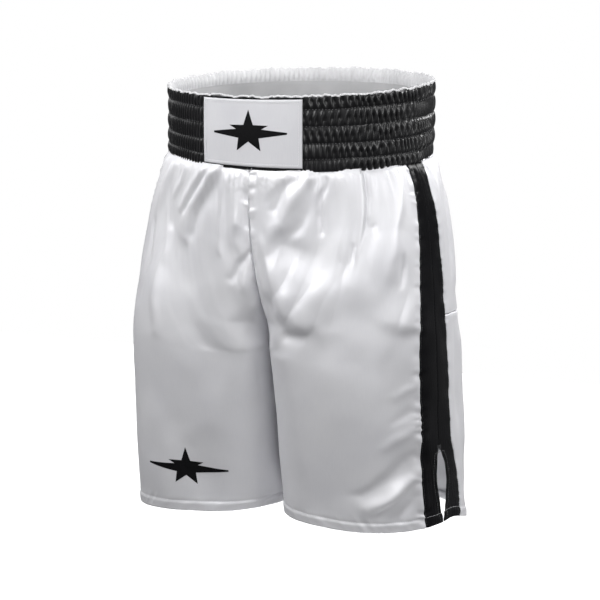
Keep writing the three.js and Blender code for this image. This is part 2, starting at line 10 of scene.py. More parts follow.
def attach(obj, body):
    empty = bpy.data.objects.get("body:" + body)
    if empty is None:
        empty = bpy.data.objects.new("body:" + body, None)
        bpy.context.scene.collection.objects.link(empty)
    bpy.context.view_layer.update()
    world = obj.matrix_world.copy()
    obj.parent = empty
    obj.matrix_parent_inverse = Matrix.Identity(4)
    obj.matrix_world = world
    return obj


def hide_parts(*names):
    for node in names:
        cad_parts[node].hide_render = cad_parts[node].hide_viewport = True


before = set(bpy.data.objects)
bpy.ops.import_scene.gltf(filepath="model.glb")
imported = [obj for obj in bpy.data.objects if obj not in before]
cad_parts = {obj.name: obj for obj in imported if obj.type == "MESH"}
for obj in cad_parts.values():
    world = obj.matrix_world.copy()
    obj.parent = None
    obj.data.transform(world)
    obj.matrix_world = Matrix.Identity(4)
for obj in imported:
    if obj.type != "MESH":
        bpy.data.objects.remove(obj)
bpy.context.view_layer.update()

MM = 0.001
PI = math.pi

# ---- Sizes shared with the CAD model ----
WAIST_HALF_WIDTH = 182
WAIST_HALF_DEPTH = 147
WAIST_TILT = 0.085
BAND_HEIGHT = 91
BAND_ROLL = 5
BODY_TOP_HALF_WIDTH = 184
HIP_FLARE = 32.5
HIP_FLARE_REACH = 0.155
BODY_HALF_DEPTH = 146
HEM_HALF_DEPTH = 152
LEG_SQUARENESS = 2.4
LEG_SHAPE_REACH = 1.15
CROTCH_ROUNDING = 42         # of the inner corners of each leg, at the crotch and at the hem
HEM_ROUNDING = 80
SEAM_SHIFT = 13              # the centre seam drifts this far to the left leg's side
SEAM_SHIFT_REACH = 0.45
THINNEST_WALL = 0.01         # of the inner leg above the crotch, where it has no real wall yet
INNER_LEG_CLEARANCE = 3
CROTCH_Z = -335
HEM_Z = -560
HEM_SIDE_DROP = 10
HEM_BACK_DROP = 24
HEM_BACK_FROM_PHI = 1.0
HEM_BACK_TO_PHI = 1.9
CROTCH_CURVE = 2.8
FRONT_LEAN = 12
FRONT_LEAN_REACH = 0.78
BODY_LENGTH = -BAND_HEIGHT - HEM_Z
CROTCH_S = (CROTCH_Z + BAND_HEIGHT) / (HEM_Z + BAND_HEIGHT)

STRIPE_FRONT_PHI = -0.62
STRIPE_REAR_PHI_TOP = -0.18
STRIPE_REAR_PHI_GROWTH = 0.26
STRIPE_GROWTH_REACH = 0.6
STRIPE_DRIFT_PHI = 0.042
STRIPE_DRIFT_S = 0.88
VENT_TOP_S = 0.78
VENT_FRONT_PHI = 0.09
VENT_REAR_PHI = 0.165
VENT_CLOSING = 0.97
VENT_SKEW = 0.85
VENT_DRIFT_PHI = 0.07
VENT_SPREAD_PHI = 0.28
VENT_SPREAD_REACH = 0.36
YOKE_S = 0.42
PUFF_HEIGHTS = [15, 21, 21, 19, 15]
LABEL_HALF_ANGLE = math.radians(22.5)
LABEL_TOP = 2
LABEL_BOTTOM = 87
LABEL_MARK = {"width": 104, "star_radius": 29, "centre": (0, -56), "lift": 0.12}
LEG_MARK = {"width": 120, "star_radius": 27, "centre": (-96, -500), "lift": 0.3}
STAR_NOTCH = 0.4             # inner radius of a star, as a share of its outer radius
BAR_ROOT_TOP = (-0.62, 0.14)     # where a mark's left bar leaves the star, in star radii
BAR_ROOT_BOTTOM = (-0.5, -0.25)
BAR_TIP_TOP = 0.02
BAR_TIP_BOTTOM = -0.06
MARK_CELL = 1.5              # faces of a mark are no larger than this

# ---- Detail of the cloth ----
FABRIC = 0.5
MM_PER_RADIAN = 105          # across the panels, about
HEM_FOLD = 13
HEM_ROWS = 13                # rows of a panel's grid between the hem's edge and its stitching
HEM_TURN = [(1, -1.1), (4, -1.7), (8, -1.7), (12, -1.7)]     # up from the edge, and lift of the layer inside
FULL_ROWS = 165
UPPER_ROWS = 76
LOWER_ROWS = 96
FRONT_COLUMNS = 165
BACK_COLUMNS = 150
STRIPE_COLUMNS = 22
TUCK = -0.006                # s of the panels' top edge, just above the waistband's lower edge
TUCK_DEPTH = 2.8             # the panels start this far inside the waistband
TUCK_REACH = 4
CALM_STRIPE = 0.55           # share of the folds that the firm stripe takes away
CALM_STRIPE_REACH = 26
VALLEY_ROUNDING = 0.02       # larger numbers make the valleys between gathers softer
SEAM_VALLEY_WIDTH = 1.5
PUCKER_PITCH = 8.5           # along a seam
PUCKER_DISTANCE = 4          # of the puckers' crests from the seam
PUCKER_REACH = 8
VENT_PLEAT_PITCH = 6.5
VENT_PLEAT_HEIGHT = 0.5

BAND_AROUND = 1038           # along the waistband
PUFF_ROWS = [12, 13, 13, 13, 12]
PUFF_DEPTH = 1.5
PLEAT_PITCH = 9
PLEAT_HEIGHT = 2.7
UPRIGHT_PLEATS = 1.6         # upright pleats in place of each zigzag
UPRIGHT_PATCH = 0.64         # a wide patch of them, as a share of the way round
UPRIGHT_PATCH_REACH = 70
UNDER_LABEL_OUT = -1.6
HEADER_PLEAT_PITCH = 7
HEADER_PLEAT_HEIGHT = 0.9
HEADER_EDGE = 16             # where the header meets the facing
ELASTIC_TOP = 17
ELASTIC_BOTTOM = 88
ELASTIC_OUT = -4.1
ELASTIC_RIB_PITCH = 2.4
LABEL_REACH = 150            # millimetres of label for each radian round the band
LABEL_STITCH_INSET = 4.2
LABEL_THICKNESS = 0.9
SHIRRING_OUT = -0.6          # of the thread in its groove

# Stitches, each as (length, pitch, radius).
SEAM_STITCH = (2.6, 3.3, 0.32)
HEM_STITCH = (2.6, 3.3, 0.22)
SHIRRING_STITCH = (1.9, 4.1, 0.34)
LABEL_STITCH = (2.2, 3.0, 0.26)
TACK_STITCH = (3.0, 3.2, 0.5)
STITCH_SPOKES = 6
STITCH_FLATNESS = 0.75
STITCH_RISE = 0.15
# Along the stitch as a share of half its length, then thickness and rise as shares of its radius.
STITCH_RINGS = [
    (-1.0, 0.25, -0.9), (-0.8, 0.75, -0.2), (-0.3, 1.0, 0.35),
    (0.3, 1.0, 0.35), (0.8, 0.75, -0.2), (1.0, 0.25, -0.9),
]
STRIPE_STITCH_INSET = 1.6
VENT_STITCH_INSET = 7.5
YOKE_STITCH_RISE = 2.2
SEAM_THREAD_TOP_S = 0.004
SEAM_THREAD_BOTTOM_S = 0.995
VENT_THREAD_TOP_S = VENT_TOP_S + 0.015
TACK_ROWS_S = VENT_TOP_S + np.linspace(-0.004, 0.008, 5)
TACK_HALF_PHI = 0.045
OVERLOCK_WIDTH = 4.5
OVERLOCK_RIB_PITCH = 2.6
OVERLOCK_THICKNESS = 0.6
INSEAM_LIFT = -2.2           # the overlocked edges lie this far inside the cloth's outer face
CENTRE_SEAM_LIFT = -2.4
INSEAM_PHI = -PI + 0.02
CENTRE_SEAM_PHI = {"front": -PI + 0.03, "back": PI - 0.03}
INSEAM_SPAN = (CROTCH_S + 0.012, 0.985, 260)     # from s, to s, points
CENTRE_SEAM_SPAN = (0.01, CROTCH_S - 0.01, 200)
HEM_THREAD_END_PHI = 0.01    # the hem's stitches end this short of the vent and the centre seam
YOKE_THREAD_END_PHI = 0.02   # and the yoke's this short of its ends

# The lining's profile: (down from the top edge, outwards from the waist's ellipse).
HEADER_PROFILE = [
    (-0.6, 0.6), (-2.2, 0.5), (-2.9, -0.4), (-1.8, -1.8), (1, -3.4),
    (4, -5.2), (8, -6.2), (12, -6.0), (14.5, -5.2), (HEADER_EDGE, -4.6),
]
FACING_PROFILE = [
    (18, -5.0), (22, -5.2), (30, -5.2), (45, -5.3), (60, -5.3), (75, -5.2), (84, -5.1), (90, -4.9),
]

SIDES = {"left": 1, "right": -1}

# Name, place, target, width, height and power in watts.
LIGHTS = [
    ("key", (-0.4, -1.25, 0.95), (0, 0, -0.1), 0.7, 1.4, 19.5),
    ("left fill", (-0.9, -0.75, 0.6), (0, 0, -0.02), 0.4, 0.6, 3),
    ("left edge", (-1.3, -0.1, 0.3), (0, 0, -0.02), 0.5, 0.5, 1.1),
    ("right fill", (1.7, -0.6, 0.6), (0, 0, -0.2), 0.6, 1.2, 12),
    ("low front", (1.5, -1.2, -0.4), (0, 0, -0.4), 0.5, 0.7, 0.8),
    ("under", (0.12, 0.0, -1.3), (0.1, 0, -0.5), 0.3, 0.3, 5),
    ("back key", (0.9, 1.1, 0.9), (0, 0, -0.15), 0.5, 0.9, 24),
    ("back fill", (-1.7, 0.6, 0.6), (0, 0, -0.2), 0.6, 1.2, 4),
]


# ---- Numbers ----
def smooth(x):
    x = np.clip(x, 0, 1)
    return x * x * (3 - 2 * x)


def mix(a, b, share):
    return a + (b - a) * share


def bump(distance, width):
    return np.exp(-(distance / width) ** 2)


def scatter(i, j, seed):
    """A repeatable number from -1 to 1 for each whole-number pair."""
    value = np.sin(i * 127.1 + j * 311.7 + seed * 74.7) * 43758.5453
    return 2 * (value - np.floor(value)) - 1


def noise(x, y=0.0, seed=0):
    """Smooth noise from -1 to 1 that changes over a distance of 1."""
    x, y = np.broadcast_arrays(np.asarray(x, float), np.asarray(y, float))
    i, j = np.floor(x), np.floor(y)
    fx, fy = smooth(x - i), smooth(y - j)
    near = mix(scatter(i, j, seed), scatter(i + 1, j, seed), fx)
    far = mix(scatter(i, j + 1, seed), scatter(i + 1, j + 1, seed), fx)
    return mix(near, far, fy)


def ridges(x, y=0.0, seed=0):
    """Noise with rounded crests and narrow valleys, from about -1 to 1."""
    return 1 - 2 * np.sqrt(noise(x, y, seed) ** 2 + VALLEY_ROUNDING)


def unit(vectors):
    return vectors / np.linalg.norm(vectors, axis=-1, keepdims=True)


def distance_along(points):
    """The distance from the first point of a path to each of its points."""
    return np.concatenate([[0], np.cumsum(np.linalg.norm(np.diff(points, axis=0), axis=1))])


def pairs(first, second):
    """A grid of every pair of two lists' values."""
    return np.stack(np.meshgrid(first, second, indexing="ij"), -1)


def whole_turn(count):
    return np.linspace(0, 2 * PI, count, endpoint=False)


# ---- The garment's plain surface ----
def outer_section(phi, half_width, depth, leg_half_depth, share):
    """x and y of the outer half of a cross-section, from the torso's ellipse to the leg's rounded box."""
    torso = half_width * np.cos(phi / 2), depth * np.sin(phi / 2)
    leg_half_width = (half_width - INNER_LEG_CLEARANCE) / 2
    leg_centre = (half_width + INNER_LEG_CLEARANCE) / 2
    across = np.abs(np.cos(phi)) / leg_half_width
    along = np.abs(np.sin(phi)) / leg_half_depth
    radius = (across ** LEG_SQUARENESS + along ** LEG_SQUARENESS) ** (-1 / LEG_SQUARENESS)
    leg = leg_centre + radius * np.cos(phi), radius * np.sin(phi)
    return mix(torso[0], leg[0], share), mix(torso[1], leg[1], share)


def inner_section(v, start_x, start_y, slope, middle_y, seam_y, seam_x, largest_radius):
    """x and depth of the inner half: along the front (v 0), round a corner and in to the seam (v 1)."""
    wall = np.maximum(middle_y - seam_y, THINNEST_WALL)
    radius = np.minimum(largest_radius, wall)
    flat = start_x - seam_x - radius
    arc = v * (flat + PI / 2 * radius + wall - radius)
    turn = np.clip((arc - flat) / radius, 0, PI / 2)
    x = np.where(arc < flat, start_x - arc, seam_x + radius * (1 - np.sin(turn)))
    t = np.clip(x / start_x, 0, 1)
    from_middle = middle_y * (1 + t * t * (2 * t - 3))
    from_start = start_y * t * t * (3 - 2 * t) - start_x * slope * t * t * (t - 1)
    inwards = radius * (1 - np.cos(turn)) + np.maximum(arc - flat - PI / 2 * radius, 0)
    return x, from_middle + from_start - inwards


def centre_seam_x(s):
    return SEAM_SHIFT * smooth(s / SEAM_SHIFT_REACH)


def top_z(side, phi):
    tilt = WAIST_TILT * WAIST_HALF_DEPTH * np.sin(phi / 2)
    return -BAND_HEIGHT + tilt - BAND_ROLL * side * np.cos(phi / 2)


def hem_z(phi):
    faded = smooth((phi - HEM_BACK_TO_PHI) / (PI - HEM_BACK_TO_PHI))
    back_drop = HEM_BACK_DROP * smooth(phi / HEM_BACK_FROM_PHI) * (1 - faded)
    return HEM_Z - HEM_SIDE_DROP * np.cos(phi) - back_drop


def garment(side, phi, s):
    """A point of the plain surface in metres.

    phi runs from -pi at the centre front past 0 at the outer side to pi at the centre back, and s
    from 0 at the waistband's lower edge to 1 at the hem.
    """
    phi, s = np.broadcast_arrays(np.asarray(phi, float), np.asarray(s, float))
    half_width = BODY_TOP_HALF_WIDTH + HIP_FLARE * (1 - np.exp(-np.maximum(s, 0) / HIP_FLARE_REACH))
    lean = -FRONT_LEAN * np.sin(PI * s / FRONT_LEAN_REACH)
    down = np.clip(s / CROTCH_S, 0, 1)
    below = np.clip((s - CROTCH_S) / (1 - CROTCH_S), 0, 1)
    depth = mix(WAIST_HALF_DEPTH, BODY_HALF_DEPTH, down)
    leg_half_depth = mix(BODY_HALF_DEPTH, HEM_HALF_DEPTH, below)
    share = smooth(s / (LEG_SHAPE_REACH * CROTCH_S))
    outer = outer_section(np.clip(phi, -PI / 2, PI / 2), half_width, depth, leg_half_depth, share)

    start_x, start_y = outer_section(np.full_like(phi, PI / 2), half_width, depth, leg_half_depth, share)
    slope_x = mix(half_width * math.sin(PI / 4) / 2, leg_half_depth, share)
    slope_y = mix(depth * math.cos(PI / 4) / 2, 0, share)
    crotch_share = 1 - (1 - down ** CROTCH_CURVE) ** (1 / CROTCH_CURVE)
    inner = inner_section(
        np.clip((np.abs(phi) - PI / 2) / (PI / 2), 0, 1), start_x, start_y, slope_y / slope_x,
        mix(depth, leg_half_depth, share), depth * (1 - crotch_share),
        INNER_LEG_CLEARANCE * crotch_share + side * centre_seam_x(s),
        mix(CROTCH_ROUNDING, HEM_ROUNDING, below))
    is_inner = np.abs(phi) > PI / 2
    x = np.where(is_inner, inner[0], outer[0])
    y = lean + np.where(is_inner, np.sign(phi) * inner[1], outer[1])
    return MM * np.stack([side * x, y, mix(top_z(side, phi), hem_z(phi), s)], -1)


def stripe_front(s):
    low = (np.asarray(s, float) - STRIPE_DRIFT_S) / (1 - STRIPE_DRIFT_S)
    return STRIPE_FRONT_PHI + STRIPE_DRIFT_PHI * smooth(low)


def stripe_back_plain(s):
    return STRIPE_REAR_PHI_TOP + STRIPE_REAR_PHI_GROWTH * smooth(s / STRIPE_GROWTH_REACH)


def stripe_rear(s):
    below = np.clip(s - VENT_TOP_S, 0, 1)
    return stripe_back_plain(s) + VENT_SPREAD_PHI * np.sin(PI * below / VENT_SPREAD_REACH)


def side_seam(s):
    drift = VENT_DRIFT_PHI * smooth((s - VENT_TOP_S) / (1 - VENT_TOP_S))
    return (STRIPE_FRONT_PHI + stripe_back_plain(s)) / 2 + drift


def vent_opening(s):
    along = np.clip((s - VENT_TOP_S) / (1 - VENT_TOP_S), 0, 1)
    return np.sin(VENT_CLOSING * PI * along ** VENT_SKEW)


def vent_front(s):
    return side_seam(s) - VENT_FRONT_PHI * vent_opening(s)


def vent_rear(s):
    return side_seam(s) + VENT_REAR_PHI * vent_opening(s)


def centre_front(s):
    return np.full_like(np.asarray(s, float), -PI)


def centre_back(s):
    return np.full_like(np.asarray(s, float), PI)


# ---- Folds ----
# Where each fold starts and ends as phi, s, phi, s; its width to the left and right of its direction;
# and its height. Negative heights are hollows.
RIGHT_FOLDS = [
    # front
    (-2.57, 0.0, -1.93, 0.21, 14, 7, 5.2),
    (-2.7, 0.01, -2.09, 0.2, 7, 10, -3.2),
    (-2.24, 0.01, -1.86, 0.13, 8, 5, 3.8),
    (-2.34, 0.01, -1.98, 0.14, 4, 4, -2.4),
    (-1.95, 0.01, -1.7, 0.1, 5, 4, 2.0),
    (-1.58, 0.01, -1.33, 0.17, 12, 7, 4.2),
    (-2.05, 0.13, -1.95, 0.2, 14, 10, 2.0),
    (-1.62, 0.22, -1.29, 0.48, 6, 8, 4.2),
    (-1.35, 0.18, -1.05, 0.4, 8, 6, -2.4),
    (-2.68, 0.02, -2.6, 0.24, 6, 6, 2.6),
    (-2.62, 0.2, -2.4, 0.42, 26, 22, 4.6),
    (-2.97, 0.02, -2.93, 0.2, 16, 6, 4.0),
    (-2.97, 0.14, -2.95, 0.165, 6, 5, 1.8),
    (-3.05, 0.235, -2.72, 0.31, 5, 7, -3.6),
    (-2.93, 0.3, -2.85, 0.33, 4, 6, 2.2),
    (-3.02, 0.36, -2.87, 0.43, 5, 6, 2.6),
    (-2.25, 0.42, -1.75, 0.46, 62, 56, 2.2),
    (-1.75, 0.46, -1.42, 0.34, 40, 26, 2.2),
    (-1.95, 0.45, -1.82, 0.64, 24, 28, 2.4),
    (-1.38, 0.5, -1.36, 0.8, 24, 26, -3.8),
    (-2.45, 0.58, -2.3, 0.8, 22, 24, -3.0),
    (-2.1, 0.62, -1.7, 0.8, 16, 22, 2.2),
    (-1.6, 0.75, -1.9, 0.95, 14, 16, -2.0),
    # back
    (2.25, 0.02, 1.9, 0.3, 14, 10, 5.5),
    (1.65, 0.02, 1.45, 0.25, 10, 12, -4.5),
    (1.15, 0.02, 0.8, 0.35, 14, 10, 5.0),
    (2.7, 0.02, 2.5, 0.16, 8, 7, 3.2),
    (1.9, 0.02, 1.78, 0.14, 6, 7, 2.8),
    (2.85, 0.27, 2.0, 0.4, 10, 24, -5.5),
    (2.7, 0.47, 1.9, 0.6, 9, 20, -4.5),
    (2.5, 0.36, 1.4, 0.37, 34, 14, 3.0),
    (3.05, 0.42, 2.45, 0.56, 8, 15, -4.5),
    (3.0, 0.52, 2.25, 0.72, 14, 8, 4.5),
    (2.55, 0.68, 2.35, 0.99, 12, 18, -5.0),
    (1.95, 0.5, 2.0, 0.97, 20, 12, 5.5),
    (1.45, 0.46, 1.4, 0.9, 12, 18, -5.5),
    (0.95, 0.5, 1.05, 0.98, 18, 12, 5.0),
    (0.55, 0.48, 0.6, 0.8, 10, 12, -3.5),
]
LEFT_FOLDS = [
    # front
    (-2.47, 0.01, -2.76, 0.05, 6, 10, 2.0),
    (-2.41, 0.015, -2.7, 0.1, 6, 6, -2.4),
    (-2.25, 0.005, -2.58, 0.145, 8, 12, 3.2),
    (-2.58, 0.145, -2.85, 0.2, 8, 12, 2.2),
    (-2.14, 0.01, -2.24, 0.11, 9, 9, -2.8),
    (-2.26, 0.11, -2.52, 0.2, 9, 10, -2.8),
    (-2.6, 0.215, -2.3, 0.23, 14, 30, -4.0),
    (-2.11, 0.005, -2.13, 0.11, 3, 4, 2.2),
    (-2.05, 0.02, -2.07, 0.165, 4, 4, -3.0),
    (-1.57, 0.01, -1.55, 0.2, 5, 30, 5.2),
    (-1.5, 0.01, -1.5, 0.15, 4, 4, -2.4),
    (-1.42, 0.14, -1.36, 0.16, 7, 7, -2.4),
    (-0.93, 0.01, -1.02, 0.17, 8, 34, 5.6),
    (-1.02, 0.17, -1.2, 0.31, 14, 30, 3.6),
    (-1.62, 0.2, -1.58, 0.24, 4, 4, -2.0),
    (-1.81, 0.4, -1.6, 0.31, 40, 26, 3.4),
    (-1.6, 0.31, -1.28, 0.28, 55, 34, 4.0),
    (-1.28, 0.28, -1.02, 0.16, 40, 34, 3.4),
    (-0.92, 0.405, -0.66, 0.42, 34, 9, 4.6),
    (-0.97, 0.25, -0.95, 0.31, 5, 5, -2.6),
    (-2.86, 0.24, -2.62, 0.34, 26, 10, 6.0),
    (-2.62, 0.34, -2.3, 0.39, 44, 14, 6.4),
    (-2.3, 0.39, -1.84, 0.42, 60, 12, 7.6),
    (-2.78, 0.36, -2.2, 0.45, 7, 12, -4.5),
    (-2.2, 0.45, -1.87, 0.44, 8, 14, -3.5),
    (-0.97, 0.46, -0.9, 0.62, 16, 16, -2.4),
    (-2.2, 0.52, -1.95, 0.85, 22, 24, -3.2),
    (-1.5, 0.48, -1.45, 0.75, 34, 34, 2.6),
    (-0.76, 0.865, -1.22, 0.945, 7, 9, 6.5),
    (-0.76, 0.8, -1.3, 0.885, 10, 8, -3.4),
    (-0.76, 0.92, -1.0, 0.99, 7, 9, -3.0),
    (-0.66, 0.7, -1.0, 0.76, 6, 8, 2.0),
    (-0.66, 0.65, -0.9, 0.68, 5, 6, -1.3),
    (-0.66, 0.6, -0.86, 0.62, 5, 6, 1.2),
    # back
    (2.45, 0.02, 2.2, 0.28, 12, 15, 5.5),
    (1.85, 0.02, 1.6, 0.25, 12, 10, -4.5),
    (1.25, 0.02, 0.75, 0.32, 10, 14, 5.0),
    (0.78, 0.02, 0.42, 0.3, 9, 9, -3.4),
    (2.75, 0.02, 2.62, 0.14, 7, 8, 3.0),
    (1.5, 0.02, 1.36, 0.15, 6, 6, 2.8),
    (2.9, 0.25, 2.0, 0.37, 22, 10, -5.5),
    (2.75, 0.46, 1.8, 0.58, 20, 9, -4.5),
    (2.3, 0.37, 1.3, 0.36, 14, 34, 3.0),
    (3.05, 0.44, 2.5, 0.6, 16, 9, -4.5),
    (2.95, 0.55, 2.3, 0.74, 9, 15, 4.5),
    (2.45, 0.66, 2.4, 0.97, 18, 12, -4.5),
    (1.9, 0.48, 1.75, 0.98, 12, 20, 5.5),
    (1.3, 0.46, 1.35, 0.92, 18, 12, -5.5),
    (0.8, 0.52, 0.85, 0.97, 12, 17, 4.5),
    (0.45, 0.46, 0.42, 0.72, 9, 10, -3.0),
]

# How the folds wander across and down: (distance, pitch across, pitch down, seed), in millimetres.
WANDER_ACROSS = [(5, 34, 60, 81), (2, 15, 28, 83)]
WANDER_DOWN = [(6, 50, 40, 85), (2.5, 19, 23, 87)]
FOLD_BOW = 0.06              # a fold's own bend, as a share of its length
FOLD_END_HEIGHT = 0.55       # height at a fold's ends, as a share of the height at its middle
FOLD_END_REACH = 0.6         # how far its ends fade out, as a share of its width


def wander(layers, side, across, down):
    total = 0
    for distance, pitch_across, pitch_down, seed in layers:
        total = total + distance * noise(across / pitch_across, down / pitch_down, seed + side)
    return total


def fold_shape(across, down, ends, left_width, right_width):
    """One fold of height 1; across and down are in millimetres."""
    start, end = np.reshape(ends, (2, 2)) * (MM_PER_RADIAN, BODY_LENGTH)
    length = np.hypot(*(end - start))
    way = (end - start) / length
    along = (across - start[0]) * way[0] + (down - start[1]) * way[1]
    aside = (across - start[0]) * way[1] - (down - start[1]) * way[0]
    aside = aside + FOLD_BOW * length * noise(along / (0.5 * length), seed=length)
    beyond = np.maximum(np.maximum(-along, along - length), 0)
    width = np.where(aside > 0, left_width, right_width)
    taper = FOLD_END_HEIGHT + (1 - FOLD_END_HEIGHT) * np.sin(PI * np.clip(along / length, 0, 1))
    return taper * bump(aside, width) * bump(beyond, FOLD_END_REACH * (left_width + right_width))


def fold_height(side, phi, s):
    across, down = phi * MM_PER_RADIAN, s * BODY_LENGTH
    across = across + wander(WANDER_ACROSS, side, across, down)
    down = down + wander(WANDER_DOWN, side, across, down)
    total = np.zeros(np.broadcast(phi, s).shape)
    for *ends, left_width, right_width, height in (LEFT_FOLDS if side > 0 else RIGHT_FOLDS):
        total += height * fold_shape(across, down, ends, left_width, right_width)
    return total


def seam_detail(side, phi, s):
    """Valleys at the seams, with the puckers that sewing leaves beside them. Millimetres."""
    down = s * BODY_LENGTH
    total = np.zeros(np.broadcast(phi, s).shape)
    centre_depth = 0.5 + 1.2 * smooth((s - 0.15) / 0.2)
    centre_pucker = 0.9 + 0.9 * np.exp(-down / 60)
    front_pucker = 1.0 + 0.8 * smooth((s - 0.5) / 0.3)
    seams = [  # distance in radians, depth of the valley, height of the puckers, seed
        (np.abs(np.abs(phi) - PI), centre_depth, centre_pucker, 4),
        (np.abs(phi - stripe_front(s)), 0.9, front_pucker, 5),
        (np.abs(phi - stripe_rear(s)), 0.9, 0.9, 6),
    ]
    for gap, depth, pucker, seed in seams:
        away = gap * MM_PER_RADIAN
        wave = ridges(down / PUCKER_PITCH + away / 40, away / 60, seed + 10 * side)
        total += -depth * bump(away, SEAM_VALLEY_WIDTH)
        total += pucker * wave * bump(away - PUCKER_DISTANCE, PUCKER_REACH)
    return total + side_seam_detail(side, phi, s) + yoke_detail(phi, s)


def side_seam_detail(side, phi, s):
    """The shallow seam between the stripe's halves, and the upright pleats beside the vent."""
    from_seam = (phi - side_seam(s)) * MM_PER_RADIAN
    shut = smooth((VENT_TOP_S - s) / 0.004)
    seam = -0.25 * bump(from_seam, 1.2) * shut
    turn = 2 * PI * from_seam / VENT_PLEAT_PITCH + 1.5 * noise(s * BODY_LENGTH / 25, seed=side)
    beside_vent = bump(s - 0.88, 0.09) * bump(from_seam, 24)
    return seam + VENT_PLEAT_HEIGHT * np.cos(turn) * beside_vent


def yoke_detail(phi, s):
    """The yoke seam's valley across the back, with its puckers above."""
    across = phi * MM_PER_RADIAN
    above = (YOKE_S - s) * BODY_LENGTH
    behind = smooth((phi - stripe_rear(s)) * MM_PER_RADIAN / 2)
    puckers = 0.9 * ridges(across / 11 - above / 30, above / 40, 17) * bump(above - 5, 10)
    return behind * (puckers - 1.1 * bump(above, 1.6))


def hem_detail(phi, s):
    """The turned hem: a fuller roll below the line of stitching. Millimetres."""
    up = (1 - s) * BODY_LENGTH
    across = phi * MM_PER_RADIAN
    roll = 0.9 * smooth((HEM_FOLD + 3 - up) / 8)
    groove = -0.7 * bump(up - HEM_FOLD, 1.5)
    wave = 0.9 * ridges(across / 9 + up / 20, up / 30, 8) * bump(up - HEM_FOLD + 2, 8)
    flutter = 1.6 * noise(across / 58, seed=23) * np.exp(-up / 60)
    return roll + groove + wave + flutter


def gathers(side, phi, s):
    """Fullness that falls from the waistband. Millimetres."""
    across, down = phi * MM_PER_RADIAN, s * BODY_LENGTH
    depth = np.maximum(down, 0)
    seed = 31 if side > 0 else 37
    drift = 7 * noise(down / 90, across / 160, seed)
    at_back = smooth(0.5 + phi)
    fine = 1.9 * ridges((across + 0.5 * drift) / 8, down / 60, seed + 1) * np.exp(-depth / 20)
    middle = 2.2 * ridges((across + drift) / 19, down / 160, seed + 2) * np.exp(-depth / 60)
    middle += 1.2 * ridges((across + 1.2 * drift) / 12, down / 120, seed + 5) * np.exp(-(depth / 110) ** 2)
    broad = 2.6 * noise((across + 1.5 * drift) / 52, down / 420, seed + 3)
    broad = broad * (0.45 + 0.55 * np.exp(-depth / 160))
    crinkles = 0.5 * ridges(across / 6 + down / 14, down / 6 - across / 12, seed + 7) * bump(depth - 18, 22)
    crinkles = crinkles * bump((np.abs(phi) - PI) * MM_PER_RADIAN, 38)
    grow = smooth(depth / 9)
    fullness = mix(0.5, 1.3, at_back)
    return grow * (fine + fullness * middle + crinkles) + fullness * broad * smooth(depth / 40)


def crumple(side, phi, s):
    """Faint handling wrinkles all over. Millimetres."""
    across, down = phi * MM_PER_RADIAN, s * BODY_LENGTH
    low = smooth((s - 0.35) / 0.2)
    broad = (1.2 + 1.2 * low) * noise(across / 40 + down / 200, down / 90 - across / 150, 41 + side)
    broad += 0.5 * noise(across / 24 + down / 60, down / 34 - across / 80, 51 + side)
    small = 0.2 * noise(across / 17 - down / 40, down / 24 + across / 60, 43 + side)
    return broad + small * smooth(0.5 + noise(across / 70, down / 90, 47 + side))


def cloth_height(side, phi, s, plain):
    """How far the cloth stands off the plain surface, in millimetres."""
    from_seam = np.abs(plain[..., 0] / MM - SEAM_SHIFT)
    inner_leg = (1 - smooth((from_seam - 7) / 16)) * smooth((s - CROTCH_S + 0.14) / 0.1)
    loose = gathers(side, phi, s) + fold_height(side, phi, s)
    loose = loose * (1 - 0.85 * inner_leg) - 1.2 * inner_leg
    from_stripe = (phi - (STRIPE_FRONT_PHI + stripe_rear(s)) / 2) * MM_PER_RADIAN
    loose = loose * (1 - CALM_STRIPE * bump(from_stripe, CALM_STRIPE_REACH))
    tucked = -TUCK_DEPTH * np.exp(-np.maximum(s, 0) * BODY_LENGTH / TUCK_REACH)
    return loose + crumple(side, phi, s) + seam_detail(side, phi, s) + hem_detail(phi, s) + tucked


def plain_normal(side, phi, s):
    step = 1e-4
    across = garment(side, phi + step, s) - garment(side, phi - step, s)
    down = garment(side, phi, s + step) - garment(side, phi, s - step)
    return unit(side * np.cross(down, across))


def cloth(side, phi, s, lift=0.0):
    """The finished cloth's outer face, or lift millimetres off it."""
    phi, s, lift = np.broadcast_arrays(*(np.asarray(v, float) for v in (phi, s, lift)))
    plain = garment(side, phi, s)
    height = cloth_height(side, phi, s, plain) + lift
    return plain + MM * height[..., None] * plain_normal(side, phi, s)


# ---- Mesh helpers ----
def finish_object(name, mesh, material):
    for polygon in mesh.polygons:
        polygon.use_smooth = True
    mesh.materials.append(material)
    obj = bpy.data.objects.new(name, mesh)
    bpy.context.scene.collection.objects.link(obj)
    return obj


def mesh_object(name, points, faces, material, uvs=None):
    mesh = bpy.data.meshes.new(name)
    mesh.from_pydata([tuple(p) for p in points], [], [tuple(int(i) for i in face) for face in faces])
    if uvs is not None:
        layer = mesh.uv_layers.new(name="cloth")
        loops = np.zeros(len(mesh.loops), np.int32)
        mesh.loops.foreach_get("vertex_index", loops)
        layer.data.foreach_set("uv", np.asarray(uvs, np.float32)[loops].ravel())
    mesh.validate()
    return finish_object(name, mesh, material)


def grid_faces(columns, rows, closed=False, flip=False):
    last = columns if closed else columns - 1
    i, j = np.meshgrid(np.arange(last), np.arange(rows - 1), indexing="ij")
    after = (i + 1) % columns
    corners = [i * rows + j, after * rows + j, after * rows + j + 1, i * rows + j + 1]
    faces = np.stack([c.ravel() for c in corners], -1)
    return faces[:, ::-1] if flip else faces


def grid_object(name, points, uvs, material, closed=False, flip=False):
    columns, rows = points.shape[:2]
    faces = grid_faces(columns, rows, closed, flip)
    return mesh_object(name, points.reshape(-1, 3), faces, material, uvs.reshape(-1, 2))


